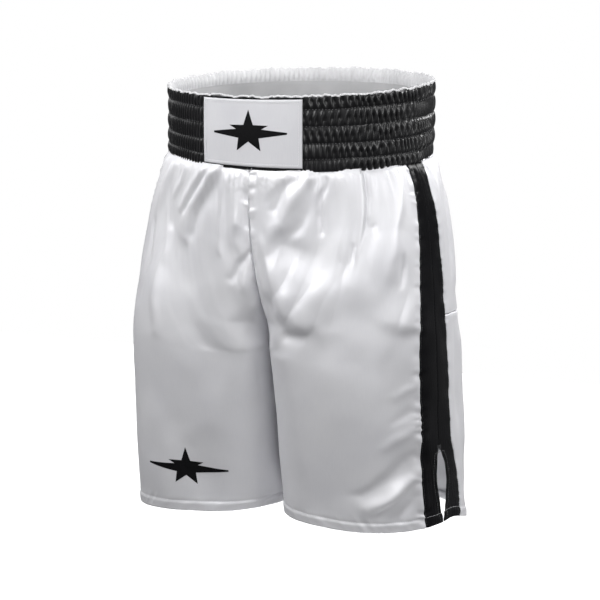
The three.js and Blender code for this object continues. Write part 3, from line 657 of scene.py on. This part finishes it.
def cloth_uvs(points):
    """Lengths along the cloth in metres: across the middle row, and down each column."""
    across = distance_along(points[:, points.shape[1] // 2])
    steps = np.linalg.norm(np.diff(points, axis=1), axis=2).mean(0)
    down = np.concatenate([[0], np.cumsum(steps)])
    return pairs(across, down)


def thicken(obj, thickness, offset=-1):
    solid = obj.modifiers.new("cloth thickness", "SOLIDIFY")
    solid.thickness = thickness * MM
    solid.offset = offset
    return obj


def spaced(count, crowd=0.35):
    """Values from 0 to 1, closer together near both ends."""
    even = np.linspace(0, 1, count)
    return mix(even, smooth(even), crowd)


# ---- Body panels ----
def panel_rows(top, bottom, count, turned_hem):
    """s and lift for each row of a panel; the hem turns up inside."""
    s = list(top + (bottom - top) * spaced(count))
    lift = [0.0] * count
    if turned_hem:
        below = np.linspace(1 - (HEM_FOLD + 3) / BODY_LENGTH, 1, HEM_ROWS)
        s = [value for value in s if value < below[0] - 0.002] + list(below)
        lift = [0.0] * len(s)
        for up, inside in HEM_TURN:
            s.append(1 - up / BODY_LENGTH)
            lift.append(inside)
    return np.array(s), np.array(lift)


def panel(name, side, left_edge, right_edge, columns, rows, material):
    """A panel between two edges, each a phi for every s."""
    s, lift = rows
    share = spaced(columns)
    phi = np.stack([mix(left_edge(s), right_edge(s), u) for u in share])
    points = cloth(side, phi, s[None, :], lift[None, :])
    obj = grid_object(name, points, cloth_uvs(points), material, flip=side > 0)
    return thicken(obj, FABRIC)


# ---- Waistband ----
def band(t, down, out):
    """A waistband point at angle t, so far down and out, in millimetres, given in metres."""
    t, down, out = np.broadcast_arrays(*(np.asarray(v, float) for v in (t, down, out)))
    x = (WAIST_HALF_WIDTH + out) * np.cos(t)
    y = (WAIST_HALF_DEPTH + out) * np.sin(t)
    z = WAIST_TILT * WAIST_HALF_DEPTH * np.sin(t) - down - BAND_ROLL * np.cos(t) * down / BAND_HEIGHT
    return MM * np.stack([x, y, z], -1)


def band_arc(t):
    return (t % (2 * PI)) / (2 * PI) * BAND_AROUND


def loop_noise(arc, pitch, seed):
    """Noise along the waistband that meets itself where the loop closes."""
    cells = max(2, round(BAND_AROUND / pitch))
    x = arc / BAND_AROUND * cells
    i = np.floor(x)
    return mix(scatter(i % cells, 0, seed), scatter((i + 1) % cells, 0, seed), smooth(x - i))


def from_centre_front(t):
    return np.abs((t + PI / 2 + PI) % (2 * PI) - PI)


def under_label(t):
    """1 where the label patch holds the waistband flat."""
    return smooth((LABEL_HALF_ANGLE - from_centre_front(t)) / 0.02)


def pleats(arc, v, puff):
    """Gathers of one puff, crossing zigzags with patches of upright pleats, from about -1 to 1."""
    count = round(BAND_AROUND / PLEAT_PITCH)
    turn = 2 * PI * arc / BAND_AROUND * count
    wander = 2.6 * loop_noise(arc, 34, puff) + 1.1 * loop_noise(arc, 15, puff + 9)
    lean = PI * (v - 0.5)
    slope = 1 + 0.5 * loop_noise(arc, 60, puff + 20)
    rising = np.cos(turn + wander + lean * slope)
    falling = np.cos(turn + wander - lean * slope + 1.4 * loop_noise(arc, 22, puff + 30))
    choice = 0.5 + 0.5 * loop_noise(arc, 46, puff + 40)
    crossed = np.maximum(rising, falling)
    single = mix(rising, falling, smooth(2.5 * choice - 0.75))
    wave = mix(crossed, single, 0.4)
    crossing = 2 * np.sqrt(np.clip(0.5 + 0.5 * wave, 0, 1)) - 1.2
    upright = np.cos(UPRIGHT_PLEATS * (turn + 0.5 * wander) + 0.5 * lean)
    beside_label = bump(arc - BAND_AROUND * UPRIGHT_PATCH, UPRIGHT_PATCH_REACH)
    patches = smooth(2.2 * loop_noise(arc, 80, puff + 90) - 0.6)
    return mix(crossing, 0.33 * upright - 0.2, np.maximum(beside_label, patches))


def puff_out(arc, v, puff):
    """How far the cover stands out at v down one puff, in millimetres."""
    swell = np.sin(PI * v) ** 0.6 if 0 < v < 1 else 0.0
    if puff == 0 and v < 0.5:
        swell = max(swell, 0.55 + 0.45 * swell)
    strength = mix(1.0, 0.55, smooth(loop_noise(arc, 170, 3)))
    ridge = pleats(arc, v, puff) * strength
    pinch = 0.45 + 0.55 * swell
    full = 1 + 0.25 * loop_noise(arc, 26, puff + 50)
    return -PUFF_DEPTH + PUFF_DEPTH * swell * full + PLEAT_HEIGHT * ridge * pinch


def groove_sway(arc, groove):
    """How far a shirring groove strays from level, in millimetres; the cover's lower edge strays less."""
    slow = 0.9 * loop_noise(arc, 55, groove + 70) if groove < len(PUFF_HEIGHTS) - 1 else 0
    return slow + 0.5 * loop_noise(arc, 9, groove + 80)


def band_cover(material):
    t = whole_turn(1250)
    arc = band_arc(t)
    flat = under_label(t)
    out_rows, down_rows = [], []
    top = 0
    for puff, (height, rows) in enumerate(zip(PUFF_HEIGHTS, PUFF_ROWS)):
        shared_row = 0 if puff == 0 else 1
        for v in np.linspace(0, 1, rows)[shared_row:]:
            stray = groove_sway(arc, puff) * v
            if puff == 0:
                ruffle = 1.6 * loop_noise(arc, 7, 60) + 0.9 * loop_noise(arc, 19, 61)
                stray = stray + (1 - v) ** 2 * ruffle
            out_rows.append(mix(puff_out(arc, v, puff), UNDER_LABEL_OUT, flat))
            down_rows.append(top + height * v + stray * (1 - flat))
        top += height
    points = band(t[:, None], np.stack(down_rows, -1), np.stack(out_rows, -1))
    uvs = pairs(arc * MM, np.linspace(0, 1.15 * BAND_HEIGHT * MM, points.shape[1]))
    return grid_object("band_cover", points, uvs, material, closed=True, flip=True)


def band_lining(header_material, facing_shade_material):
    """The pale gathered header inside the top edge, and the plain facing below it in a darker grey, which is
    painted shade of the waistband's inside.
    """
    t = whole_turn(1000)
    arc = band_arc(t)
    profile = HEADER_PROFILE + FACING_PROFILE
    count = round(BAND_AROUND / HEADER_PLEAT_PITCH)
    pleat = np.cos(2 * PI * arc / BAND_AROUND * count + 2.4 * loop_noise(arc, 30, 5))
    out_rows, down_rows = [], []
    for down, out in profile:
        header = 1 - smooth((down - 11) / 6)
        soft = 0.35 * loop_noise(arc, 40, 7) * smooth((down - 14) / 20)
        gathered = HEADER_PLEAT_HEIGHT * header * (pleat + 0.5 * loop_noise(arc, 12, 8))
        out_rows.append(out - gathered + soft)
        ruffle = 1.3 * loop_noise(arc, 4, 62) + 0.8 * loop_noise(arc, 19, 61)
        down_rows.append(down + ruffle * np.clip(1 - down / 5, 0, 1))
    points = band(t[:, None], np.stack(down_rows, -1), np.stack(out_rows, -1))
    downs = np.array([down for down, _ in profile])
    uvs = pairs(arc * MM, downs * MM)
    last = len(HEADER_PROFILE)
    header = grid_object("lining_header", points[:, :last], uvs[:, :last], header_material, closed=True)
    seam = last - 1
    # The facing sheet takes a darker copy of the lining cloth: painted shade of the waistband's inside.
    facing = grid_object("lining_facing_painted_shade", points[:, seam:], uvs[:, seam:], facing_shade_material, closed=True)
    return header, facing


def band_elastic(material):
    t = whole_turn(720)
    down = np.linspace(ELASTIC_TOP, ELASTIC_BOTTOM, 14)
    rib = 0.08 * np.cos(2 * PI * down / ELASTIC_RIB_PITCH)
    points = band(t[:, None], down[None, :], ELASTIC_OUT + rib[None, :])
    uvs = pairs(band_arc(t) * MM, down * MM)
    return grid_object("band_elastic", points, uvs, material, closed=True, flip=True)


# ---- Label patch ----
def label_out(t, down):
    """How far the label's face stands off the waistband, in millimetres."""
    sideways = (LABEL_HALF_ANGLE - np.abs(t + PI / 2)) * LABEL_REACH
    from_edge = np.minimum(sideways, np.minimum(down - LABEL_TOP, LABEL_BOTTOM - down))
    border = 0.25 * smooth((5.5 - from_edge) / 2) - 0.25 * bump(from_edge - LABEL_STITCH_INSET, 0.8)
    rolled = -0.8 * bump(from_edge, 1.2)
    waves = 0.5 * noise(t * 4, down / 45, 71) + 0.25 * noise(t * 14, down / 22, 72)
    belly = 0.6 * np.sin(PI * np.clip((down - LABEL_TOP) / (LABEL_BOTTOM - LABEL_TOP), 0, 1))
    return 1.7 + border + rolled + waves + belly


def label_patch(material):
    t = -PI / 2 + LABEL_HALF_ANGLE * np.linspace(-1, 1, 180)
    down = mix(LABEL_TOP, LABEL_BOTTOM, np.linspace(0, 1, 110))
    points = band(t[:, None], down[None, :], label_out(t[:, None], down[None, :]))
    uvs = pairs(t * WAIST_HALF_WIDTH * MM, down * MM)
    obj = grid_object("label", points, uvs, material, flip=True)
    return thicken(obj, LABEL_THICKNESS)


# ---- Threads ----
def stitch_faces():
    """The faces of one stitch: a tube through its rings, with a cap at each end."""
    faces = []
    for ring in range(len(STITCH_RINGS) - 1):
        here, there = ring * STITCH_SPOKES, (ring + 1) * STITCH_SPOKES
        for k in range(STITCH_SPOKES):
            after = (k + 1) % STITCH_SPOKES
            faces.append([here + k, here + after, there + after, there + k])
    first_ring = list(range(STITCH_SPOKES))
    last_ring = [(len(STITCH_RINGS) - 1) * STITCH_SPOKES + k for k in first_ring]
    return [*faces, first_ring[::-1], last_ring]


def stitches(name, points, normals, material, size=SEAM_STITCH):
    """A row of small rounded stitches along a path of points in metres."""
    length, pitch, radius = size
    reach = distance_along(points)
    count = max(2, int(reach[-1] / (pitch * MM)))
    middle = (np.arange(count) + 0.5) * reach[-1] / count
    half = 0.5 * length * MM

    def at(where, values):
        return np.stack([np.interp(where, reach, values[:, k]) for k in range(3)], -1)

    start, end = at(middle - half, points), at(middle + half, points)
    up = unit(at(middle, normals))
    ahead = unit(end - start)
    across = unit(np.cross(ahead, up))
    verts = []
    for along, fat, rise in STITCH_RINGS:
        centre = 0.5 * (start + end) + ahead * (along * half) + up * ((rise * radius + STITCH_RISE) * MM)
        for k in range(STITCH_SPOKES):
            angle = 2 * PI * k / STITCH_SPOKES
            around = math.cos(angle) * across + STITCH_FLATNESS * math.sin(angle) * up
            verts.append(centre + fat * radius * MM * around)
    verts = np.stack(verts, 1).reshape(-1, 3)
    one = stitch_faces()
    per_stitch = len(STITCH_RINGS) * STITCH_SPOKES
    faces = [[i * per_stitch + v for v in face] for i in range(count) for face in one]
    return mesh_object(name, verts, faces, material)


def path_on_cloth(side, phi, s, lift=0.0):
    return cloth(side, phi, s, lift), plain_normal(side, np.asarray(phi, float), np.asarray(s, float))


def ribbon(name, side, phi, s, lift, material):
    """Overlocked seam edge: a narrow ribbed strip along a path inside the cloth."""
    points, normals = path_on_cloth(side, phi, s, lift)
    ahead = unit(np.gradient(points, axis=0))
    across = np.cross(ahead, normals)
    reach = distance_along(points) / MM
    rib = 0.25 * np.cos(2 * PI * reach / OVERLOCK_RIB_PITCH)
    offsets = np.linspace(-0.5, 0.5, 5) * OVERLOCK_WIDTH
    lines = []
    for offset in offsets:
        raised = rib + 0.4 * (1 - (2 * offset / OVERLOCK_WIDTH) ** 2)
        lines.append(points + MM * (offset * across - raised[:, None] * normals))
    uvs = pairs(reach * MM, (offsets + OVERLOCK_WIDTH / 2) * MM)
    strip = grid_object(name, np.stack(lines, 1), uvs, material)
    return thicken(strip, OVERLOCK_THICKNESS, 0)


# ---- Printed marks ----
def mark_outline(width, star_radius):
    """A five-pointed star between two bars that taper outwards, in millimetres."""
    corners = []
    for k in range(10):
        radius = star_radius if k % 2 == 0 else STAR_NOTCH * star_radius
        angle = PI / 2 + k * PI / 5
        corners.append((radius * math.cos(angle), radius * math.sin(angle)))
    tip = -width / 2 / star_radius
    bar = [BAR_ROOT_TOP, (tip, BAR_TIP_TOP), (tip, BAR_TIP_BOTTOM), BAR_ROOT_BOTTOM]
    bar = [(x * star_radius, y * star_radius) for x, y in bar]
    left = [corners[1], corners[2], *bar, corners[4], corners[5]]
    right = [(-x, y) for x, y in left[:-1][::-1]]
    return [corners[0], *left, *right]


def mark_mesh(width, star_radius):
    """Flat points and faces of a mark, cut into faces small enough to follow the cloth."""
    build = bmesh.new()
    build.faces.new([build.verts.new((x, y, 0)) for x, y in mark_outline(width, star_radius)])
    for axis, reach in (((1, 0, 0), width / 2), ((0, 1, 0), star_radius)):
        for place in np.arange(-reach + MARK_CELL, reach, MARK_CELL):
            geometry = build.verts[:] + build.edges[:] + build.faces[:]
            middle = Vector(axis) * float(place)
            bmesh.ops.bisect_plane(build, geom=geometry, plane_co=middle, plane_no=Vector(axis))
    bmesh.ops.triangulate(build, faces=build.faces[:])
    build.verts.index_update()
    points = np.array([v.co[:2] for v in build.verts])
    faces = [[v.index for v in face.verts] for face in build.faces]
    build.free()
    return points, faces


def drop_on(obj, points, lift):
    """Flat points (x, z) in metres carried back along +Y to the front of a mesh."""
    depsgraph = bpy.context.evaluated_depsgraph_get()
    tree = BVHTree.FromObject(obj, depsgraph)
    backwards = Vector((0, 1, 0))
    landed = []
    for x, z in points:
        place, _, _, _ = tree.ray_cast(Vector((x, -0.5, z)), backwards)
        landed.append(place - backwards * lift * MM)
    return np.array([tuple(p) for p in landed])


# ---- Materials ----
def link(tree, source, output, target, socket):
    tree.links.new(source.outputs[output], target.inputs[socket])


def set_inputs(node, values):
    for socket, value in values.items():
        node.inputs[socket].default_value = value
    return node


def add(tree, kind, values, **settings):
    """A new shader node with some of its inputs and settings given."""
    node = tree.nodes.new("ShaderNode" + kind)
    for name, value in settings.items():
        setattr(node, name, value)
    return set_inputs(node, values)


def new_material(name, values):
    """A material, its node tree and its shader, with some of the shader's inputs set."""
    material = bpy.data.materials.new(name)
    material.use_nodes = True
    tree = material.node_tree
    shader = set_inputs(tree.nodes["Principled BSDF"], values)
    return material, tree, shader


def cloth_space(tree):
    """The lengths along the cloth, from its UV map."""
    return add(tree, "UVMap", {}, uv_map="cloth")


def stretched(tree, uv, across, down):
    mapping = add(tree, "Mapping", {"Scale": (across, down, 1)})
    link(tree, uv, "UV", mapping, "Vector")
    return mapping


def grain(tree, space, output, scale, detail):
    texture = add(tree, "TexNoise", {"Scale": scale, "Detail": detail})
    link(tree, space, output, texture, "Vector")
    return texture


def multiply_add(tree, first, first_output, share, second, second_output):
    """first * share + second."""
    total = add(tree, "Math", {1: share}, operation="MULTIPLY_ADD")
    link(tree, first, first_output, total, 0)
    link(tree, second, second_output, total, 2)
    return total


def colour_between(tree, factor, output, dark, light, low, high):
    ramp = add(tree, "ValToRGB", {})
    for element, colour, position in zip(ramp.color_ramp.elements, (dark, light), (low, high)):
        element.color = (*colour, 1)
        element.position = position
    link(tree, factor, output, ramp, "Fac")
    return ramp


def vary_roughness(tree, shader, factor, low, high):
    rough = add(tree, "MapRange", {"To Min": low, "To Max": high})
    link(tree, factor, "Fac", rough, "Value")
    link(tree, rough, "Result", shader, "Roughness")


def relief(tree, factor, output, strength, distance):
    raised = add(tree, "Bump", {"Strength": strength, "Distance": distance})
    link(tree, factor, output, raised, "Height")
    return raised


def satin(name, dark, light, roughness, sheen, specular, anisotropy, metallic=0.0, weave=1.0):
    """Woven satin: long floats that run down the cloth, faint slubs, and cloudy changes of colour."""
    material, tree, shader = new_material(name, {
        "Sheen Weight": sheen, "Sheen Roughness": 0.4, "Specular IOR Level": specular,
        "Anisotropic": anisotropy, "Metallic": metallic,
    })
    tangent = add(tree, "Tangent", {}, direction_type="UV_MAP", uv_map="cloth")
    link(tree, tangent, "Tangent", shader, "Tangent")
    uv = cloth_space(tree)
    floats = grain(tree, stretched(tree, uv, 2600, 420), "Vector", 1, 2)
    slubs = grain(tree, stretched(tree, uv, 900, 60), "Vector", 1, 3)
    clouds = grain(tree, add(tree, "TexCoord", {}), "Object", 14, 4)
    both = multiply_add(tree, slubs, "Fac", 0.35, clouds, "Fac")
    tint = colour_between(tree, both, "Value", dark, light, 0.35, 0.95)
    link(tree, tint, "Color", shader, "Base Color")
    vary_roughness(tree, shader, slubs, roughness - 0.05, roughness + 0.06)
    fine = relief(tree, floats, "Fac", 0.12 * weave, 0.0002)
    coarse = relief(tree, slubs, "Fac", 0.1 * weave, 0.0006)
    link(tree, fine, "Normal", coarse, "Normal")
    link(tree, coarse, "Normal", shader, "Normal")
    return material


def woven(name, dark, light, roughness, yarn_scale=222.222):
    """Plain woven cloth: crossing yarns from two wave textures."""
    material, tree, shader = new_material(name, {"Sheen Weight": 0.1, "Specular IOR Level": 0.3})
    uv = cloth_space(tree)
    weave = add(tree, "Math", {}, operation="MULTIPLY")
    yarns = {"Scale": yarn_scale, "Distortion": 0.6, "Detail Scale": 3}
    for socket, direction in enumerate(("X", "Y")):
        wave = add(tree, "TexWave", yarns, wave_type="BANDS", bands_direction=direction)
        link(tree, uv, "UV", wave, "Vector")
        link(tree, wave, "Fac", weave, socket)
    clouds = grain(tree, add(tree, "TexCoord", {}), "Object", 30, 5)
    both = multiply_add(tree, weave, "Value", 0.3, clouds, "Fac")
    tint = colour_between(tree, both, "Value", dark, light, 0.3, 0.9)
    link(tree, tint, "Color", shader, "Base Color")
    vary_roughness(tree, shader, clouds, roughness - 0.06, roughness + 0.06)
    link(tree, relief(tree, weave, "Value", 0.35, 0.00025), "Normal", shader, "Normal")
    return material


def thread(name, dark, light):
    """Twisted sewing thread."""
    material, tree, shader = new_material(name, {"Specular IOR Level": 0.4, "Sheen Weight": 0.15})
    place = add(tree, "TexCoord", {})
    twist = add(tree, "TexWave", {"Scale": 900, "Distortion": 1.5}, bands_direction="DIAGONAL")
    link(tree, place, "Object", twist, "Vector")
    fuzz = grain(tree, place, "Object", 400, 2)
    tint = colour_between(tree, fuzz, "Fac", dark, light, 0.3, 0.7)
    link(tree, tint, "Color", shader, "Base Color")
    vary_roughness(tree, shader, fuzz, 0.42, 0.58)
    link(tree, relief(tree, twist, "Fac", 0.5, 0.0001), "Normal", shader, "Normal")
    return material


def printed(name, dark, light):
    """Heat-set print: a thin, slightly orange-peeled film."""
    material, tree, shader = new_material(name, {"Specular IOR Level": 0.12})
    peel = grain(tree, add(tree, "TexCoord", {}), "Object", 700, 3)
    tint = colour_between(tree, peel, "Fac", dark, light, 0.35, 0.75)
    link(tree, tint, "Color", shader, "Base Color")
    vary_roughness(tree, shader, peel, 0.4, 0.6)
    link(tree, relief(tree, peel, "Fac", 0.2, 0.00015), "Normal", shader, "Normal")
    return material


def make_looks():
    """Every material of the shorts, by a short name."""
    return {
        "white": satin("white_satin", (0.74, 0.74, 0.77), (0.82, 0.82, 0.84), 0.46, 0.1, 0.5, 0.45, 0.25),
        "stripe": satin("stripe_satin", (0.0015, 0.0015, 0.002), (0.004, 0.004, 0.005), 0.26, 0.0, 0.1, 0.3),
        "black": satin("black_satin", (0.003, 0.003, 0.0035), (0.008, 0.008, 0.009), 0.28, 0.1, 0.5, 0.3),
        "label": satin("label_satin", (0.65, 0.65, 0.68), (0.73, 0.73, 0.75), 0.55, 0.1, 0.3, 0.2, weave=1.6),
        "header": woven("lining", (0.54, 0.54, 0.55), (0.72, 0.72, 0.73), 0.7),
        # The facing is the same lining cloth as the header, coloured darker grey as painted shade of the
        # waistband's inside.
        "facing": woven("lining_facing_painted_shade", (0.36, 0.36, 0.365), (0.47, 0.47, 0.475), 0.75),
        "elastic": woven("elastic", (0.7, 0.7, 0.68), (0.85, 0.85, 0.83), 0.75, yarn_scale=111.111),
        "white_thread": thread("white_thread", (0.72, 0.72, 0.74), (0.86, 0.86, 0.88)),
        "black_thread": thread("black_thread", (0.015, 0.015, 0.017), (0.04, 0.04, 0.045)),
        "vent_thread": thread("vent_thread", (0.05, 0.05, 0.055), (0.12, 0.12, 0.125)),
        "grey_thread": thread("grey_thread", (0.05, 0.05, 0.055), (0.16, 0.16, 0.17)),
        "print": printed("black_print", (0.003, 0.003, 0.0035), (0.008, 0.008, 0.009)),
    }


# ---- Camera, light and floor ----
def aim(obj, target):
    obj.rotation_euler = (Vector(target) - obj.location).to_track_quat("-Z", "Y").to_euler()


def make_camera():
    azimuth = math.radians(26)
    distance = 2.7
    height = 0.125
    target = (0, 0, -0.291)
    camera = bpy.data.objects.new("camera", bpy.data.cameras.new("camera"))
    camera.data.lens = 121.7
    camera.data.sensor_width = 36
    camera.location = (distance * math.sin(azimuth), -distance * math.cos(azimuth), height)
    aim(camera, target)
    bpy.context.scene.collection.objects.link(camera)
    bpy.context.scene.camera = camera


def area_light(name, place, target, width, height, power):
    lamp = bpy.data.lights.new(name, "AREA")
    lamp.shape = "RECTANGLE"
    lamp.size = width
    lamp.size_y = height
    lamp.energy = power
    obj = bpy.data.objects.new(name, lamp)
    obj.location = place
    aim(obj, target)
    bpy.context.scene.collection.objects.link(obj)


def studio():
    """A world that is white to the camera and shades from dark below to light above for the shorts."""
    scene = bpy.context.scene
    scene.view_settings.view_transform = "Standard"
    world = bpy.data.worlds.new("studio")
    world.use_nodes = True
    scene.world = world
    tree = world.node_tree
    split = add(tree, "SeparateXYZ", {})
    link(tree, add(tree, "TexCoord", {}), "Generated", split, "Vector")
    rising = multiply_add(tree, split, "X", 0.35, split, "Z")
    height = add(tree, "MapRange", {"From Min": -1, "From Max": 1})
    link(tree, rising, "Value", height, "Value")
    ramp = colour_between(tree, height, "Result", (0.16, 0.16, 0.165), (0.78, 0.78, 0.79), 0.35, 0.85)
    lit = set_inputs(tree.nodes["Background"], {"Strength": 0.66})
    link(tree, ramp, "Color", lit, "Color")
    seen = add(tree, "Background", {"Color": (1, 1, 1, 1)})
    choose = add(tree, "MixShader", {})
    link(tree, add(tree, "LightPath", {}), "Is Camera Ray", choose, "Fac")
    link(tree, lit, "Background", choose, 1)
    link(tree, seen, "Background", choose, 2)
    link(tree, choose, "Shader", tree.nodes["World Output"], "Surface")
    for light in LIGHTS:
        area_light(*light)


def floor():
    """A wide white floor far below, which the shorts neither reflect nor take light from."""
    size = 6
    corners = [(-size, -size, 0), (size, -size, 0), (size, size, 0), (-size, size, 0)]
    mesh = bpy.data.meshes.new("floor")
    mesh.from_pydata(corners, [], [(0, 1, 2, 3)])
    material, _, _ = new_material("floor", {
        "Base Color": (0.9, 0.9, 0.9, 1), "Roughness": 1,
        "Emission Color": (1, 1, 1, 1), "Emission Strength": 1,
    })
    mesh.materials.append(material)
    obj = bpy.data.objects.new("floor", mesh)
    obj.location = (0, 0, -1.6)
    obj.visible_diffuse = False
    obj.visible_glossy = False
    bpy.context.scene.collection.objects.link(obj)


# ---- Putting it together ----
def put(obj, slot, *nodes):
    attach(obj, "root")
    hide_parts(*nodes)
    return obj


def waistband(looks):
    """The waistband's four sheets, then the label."""
    cover = put(band_cover(looks["black"]), "black_satin", "waistband_cover")
    header, facing = band_lining(looks["header"], looks["facing"])
    put(header, "lining", "waistband_lining")
    put(facing, "lining", "waistband_lining")
    elastic = put(band_elastic(looks["elastic"]), "elastic", "waistband_elastic")
    label = put(label_patch(looks["label"]), "label_satin", "label_patch")
    return [cover, header, facing, elastic, label]


def shirring(material):
    """A row of thread in each groove between two puffs, from one side of the label round to the other."""
    t = np.linspace(0, 2 * PI, 1400)
    arc = band_arc(t)
    outwards = np.stack([np.cos(t) / WAIST_HALF_WIDTH, np.sin(t) / WAIST_HALF_DEPTH, 0 * t], -1)
    open_band = from_centre_front(t) > LABEL_HALF_ANGLE - 0.01
    first_hidden = int(np.argmax(~open_band))
    order = [k for k in np.roll(np.arange(len(t)), -first_hidden) if open_band[k]]
    depth = 0
    for groove, height in enumerate(PUFF_HEIGHTS[:-1]):
        depth += height
        path = band(t, depth + groove_sway(arc, groove), SHIRRING_OUT)[order]
        row = stitches(f"shirring_{groove + 1}", path, outwards[order], material, SHIRRING_STITCH)
        put(row, "grey_thread", f"shirring_stitch_{groove + 1}")


def label_stitching(material):
    """One line of stitches round the label, just inside its edge."""
    half = LABEL_HALF_ANGLE - LABEL_STITCH_INSET / LABEL_REACH
    low, high = LABEL_TOP + LABEL_STITCH_INSET, LABEL_BOTTOM - LABEL_STITCH_INSET
    across = np.linspace(-half, half, 120)
    along = np.linspace(low, high, 60)
    t = np.concatenate([across, np.full(60, half), across[::-1], np.full(60, -half)]) - PI / 2
    down = np.concatenate([np.full(120, low), along, np.full(120, high), along[::-1]])
    path = band(t, down, label_out(t, down) + 0.1)
    outwards = np.stack([np.cos(t), np.sin(t), 0 * t], -1)
    moves = np.concatenate([[True], np.linalg.norm(np.diff(path, axis=0), axis=1) > 1e-7])
    row = stitches("label_stitching", path[moves], outwards[moves], material, LABEL_STITCH)
    put(row, "white_thread", "label_edge_stitch")


def side_panels(name, side, looks):
    """One side's five panels, the front panel first."""
    full = panel_rows(TUCK, 1.0, FULL_ROWS, True)
    above_yoke = panel_rows(TUCK, YOKE_S, UPPER_ROWS, False)
    below_yoke = panel_rows(YOKE_S, 1.0, LOWER_ROWS, True)
    front = (centre_front, stripe_front, FRONT_COLUMNS, full)
    upper = (stripe_rear, centre_back, BACK_COLUMNS, above_yoke)
    lower = (stripe_rear, centre_back, BACK_COLUMNS, below_yoke)
    fore = (stripe_front, vent_front, STRIPE_COLUMNS, full)
    rear = (vent_rear, stripe_rear, STRIPE_COLUMNS, full)
    plans = [
        ("front", front, "white", "white_satin", "front_panel"),
        ("back_upper", upper, "white", "white_satin", "back_upper_panel"),
        ("back_lower", lower, "white", "white_satin", "back_lower_panel"),
        ("stripe_front", fore, "stripe", "black_satin", "side_stripe_front"),
        ("stripe_rear", rear, "stripe", "black_satin", "side_stripe_rear"),
    ]
    panels = []
    for part, shape, look, slot, node in plans:
        piece = panel(f"{part}_{name}", side, *shape, looks[look])
        panels.append(put(piece, slot, f"{node}_{name}"))
    return panels


def sew(name, node, slot, side, path, material, size=SEAM_STITCH, lift=0.0):
    """A row of stitches along a path of phi and s on the panels."""
    points, normals = path_on_cloth(side, *np.broadcast_arrays(*path), lift)
    put(stitches(name, points, normals, material, size), slot, node)


def sew_stripe(name, side, material):
    s = np.linspace(SEAM_THREAD_TOP_S, SEAM_THREAD_BOTTOM_S, 500)
    inset = STRIPE_STITCH_INSET / MM_PER_RADIAN
    for edge, phi in (("front", stripe_front(s) + inset), ("rear", stripe_rear(s) - inset)):
        row, node = f"stripe_{edge}_stitching_{name}", f"stripe_{edge}_stitch_{name}"
        sew(row, node, "black_thread", side, (phi, s), material)


def sew_hem_and_yoke(name, side, material):
    s = 1 - HEM_FOLD / BODY_LENGTH
    gap = HEM_THREAD_END_PHI
    front = np.linspace(-PI + gap, float(vent_front(s)) - gap, 450)
    back = np.linspace(float(vent_rear(s)) + gap, PI - gap, 450)
    for part, phi in (("front", front), ("back", back)):
        row = f"hem_stitching_{part}_{name}"
        sew(row, f"hem_stitch_{name}", "white_thread", side, (phi, s), material, HEM_STITCH)
    gap = YOKE_THREAD_END_PHI
    phi = np.linspace(float(stripe_rear(YOKE_S)) + gap, PI - gap, 400)
    yoke = phi, YOKE_S - YOKE_STITCH_RISE / BODY_LENGTH
    sew(f"yoke_stitching_{name}", f"yoke_stitch_{name}", "white_thread", side, yoke, material)


def sew_vent(name, side, material, tack_material):
    """One line up the vent's front edge and down its rear edge, and a bar tack across its top."""
    s = np.linspace(VENT_THREAD_TOP_S, SEAM_THREAD_BOTTOM_S, 160)
    inset = VENT_STITCH_INSET / MM_PER_RADIAN
    phi = np.concatenate([vent_front(s)[::-1] - inset, vent_rear(s) + inset])
    loop = phi, np.concatenate([s[::-1], s])
    sew(f"vent_stitching_{name}", f"vent_stitch_{name}", "black_thread", side, loop, material)
    for k, tack_s in enumerate(TACK_ROWS_S):
        path = side_seam(tack_s) + np.linspace(-TACK_HALF_PHI, TACK_HALF_PHI, 12), tack_s
        row, node = f"bar_tack_{name}_{k + 1}", f"vent_bar_tack_{name}"
        sew(row, node, "black_thread", side, path, tack_material, TACK_STITCH, 0.2)


def overlock(name, node, side, phi, ends, lift, material):
    """The overlocked edge of a seam at one phi, between two values of s."""
    s = np.linspace(*ends)
    put(ribbon(name, side, np.full_like(s, phi), s, lift, material), "white_thread", node)


def printed_mark(name, node, carrier, mark, material):
    flat, faces = mark_mesh(mark["width"], mark["star_radius"])
    places = drop_on(carrier, MM * (flat + np.array(mark["centre"])), mark["lift"])
    put(mesh_object(name, places, faces, material), "black_print", node)


def build():
    looks = make_looks()
    sheets = waistband(looks)
    label = sheets[-1]
    white_thread = looks["white_thread"]
    shirring(looks["grey_thread"])
    label_stitching(white_thread)
    fronts = {}
    for name, side in SIDES.items():
        panels = side_panels(name, side, looks)
        fronts[name] = panels[0]
        sheets += panels
        sew_stripe(name, side, looks["black_thread"])
        sew_hem_and_yoke(name, side, white_thread)
        sew_vent(name, side, looks["vent_thread"], looks["black_thread"])
        inseam = f"inseam_edge_{name}", f"inseam_overlock_{name}"
        overlock(*inseam, side, INSEAM_PHI, INSEAM_SPAN, INSEAM_LIFT, white_thread)
    for part, phi in CENTRE_SEAM_PHI.items():
        centre = f"centre_{part}_edge", "centre_seam_overlock"
        overlock(*centre, SIDES["left"], phi, CENTRE_SEAM_SPAN, CENTRE_SEAM_LIFT, white_thread)
    printed_mark("label_star", "label_mark", label, LABEL_MARK, looks["print"])
    printed_mark("leg_star", "leg_mark", fronts["right"], LEG_MARK, looks["print"])


make_camera()
studio()
floor()
build()
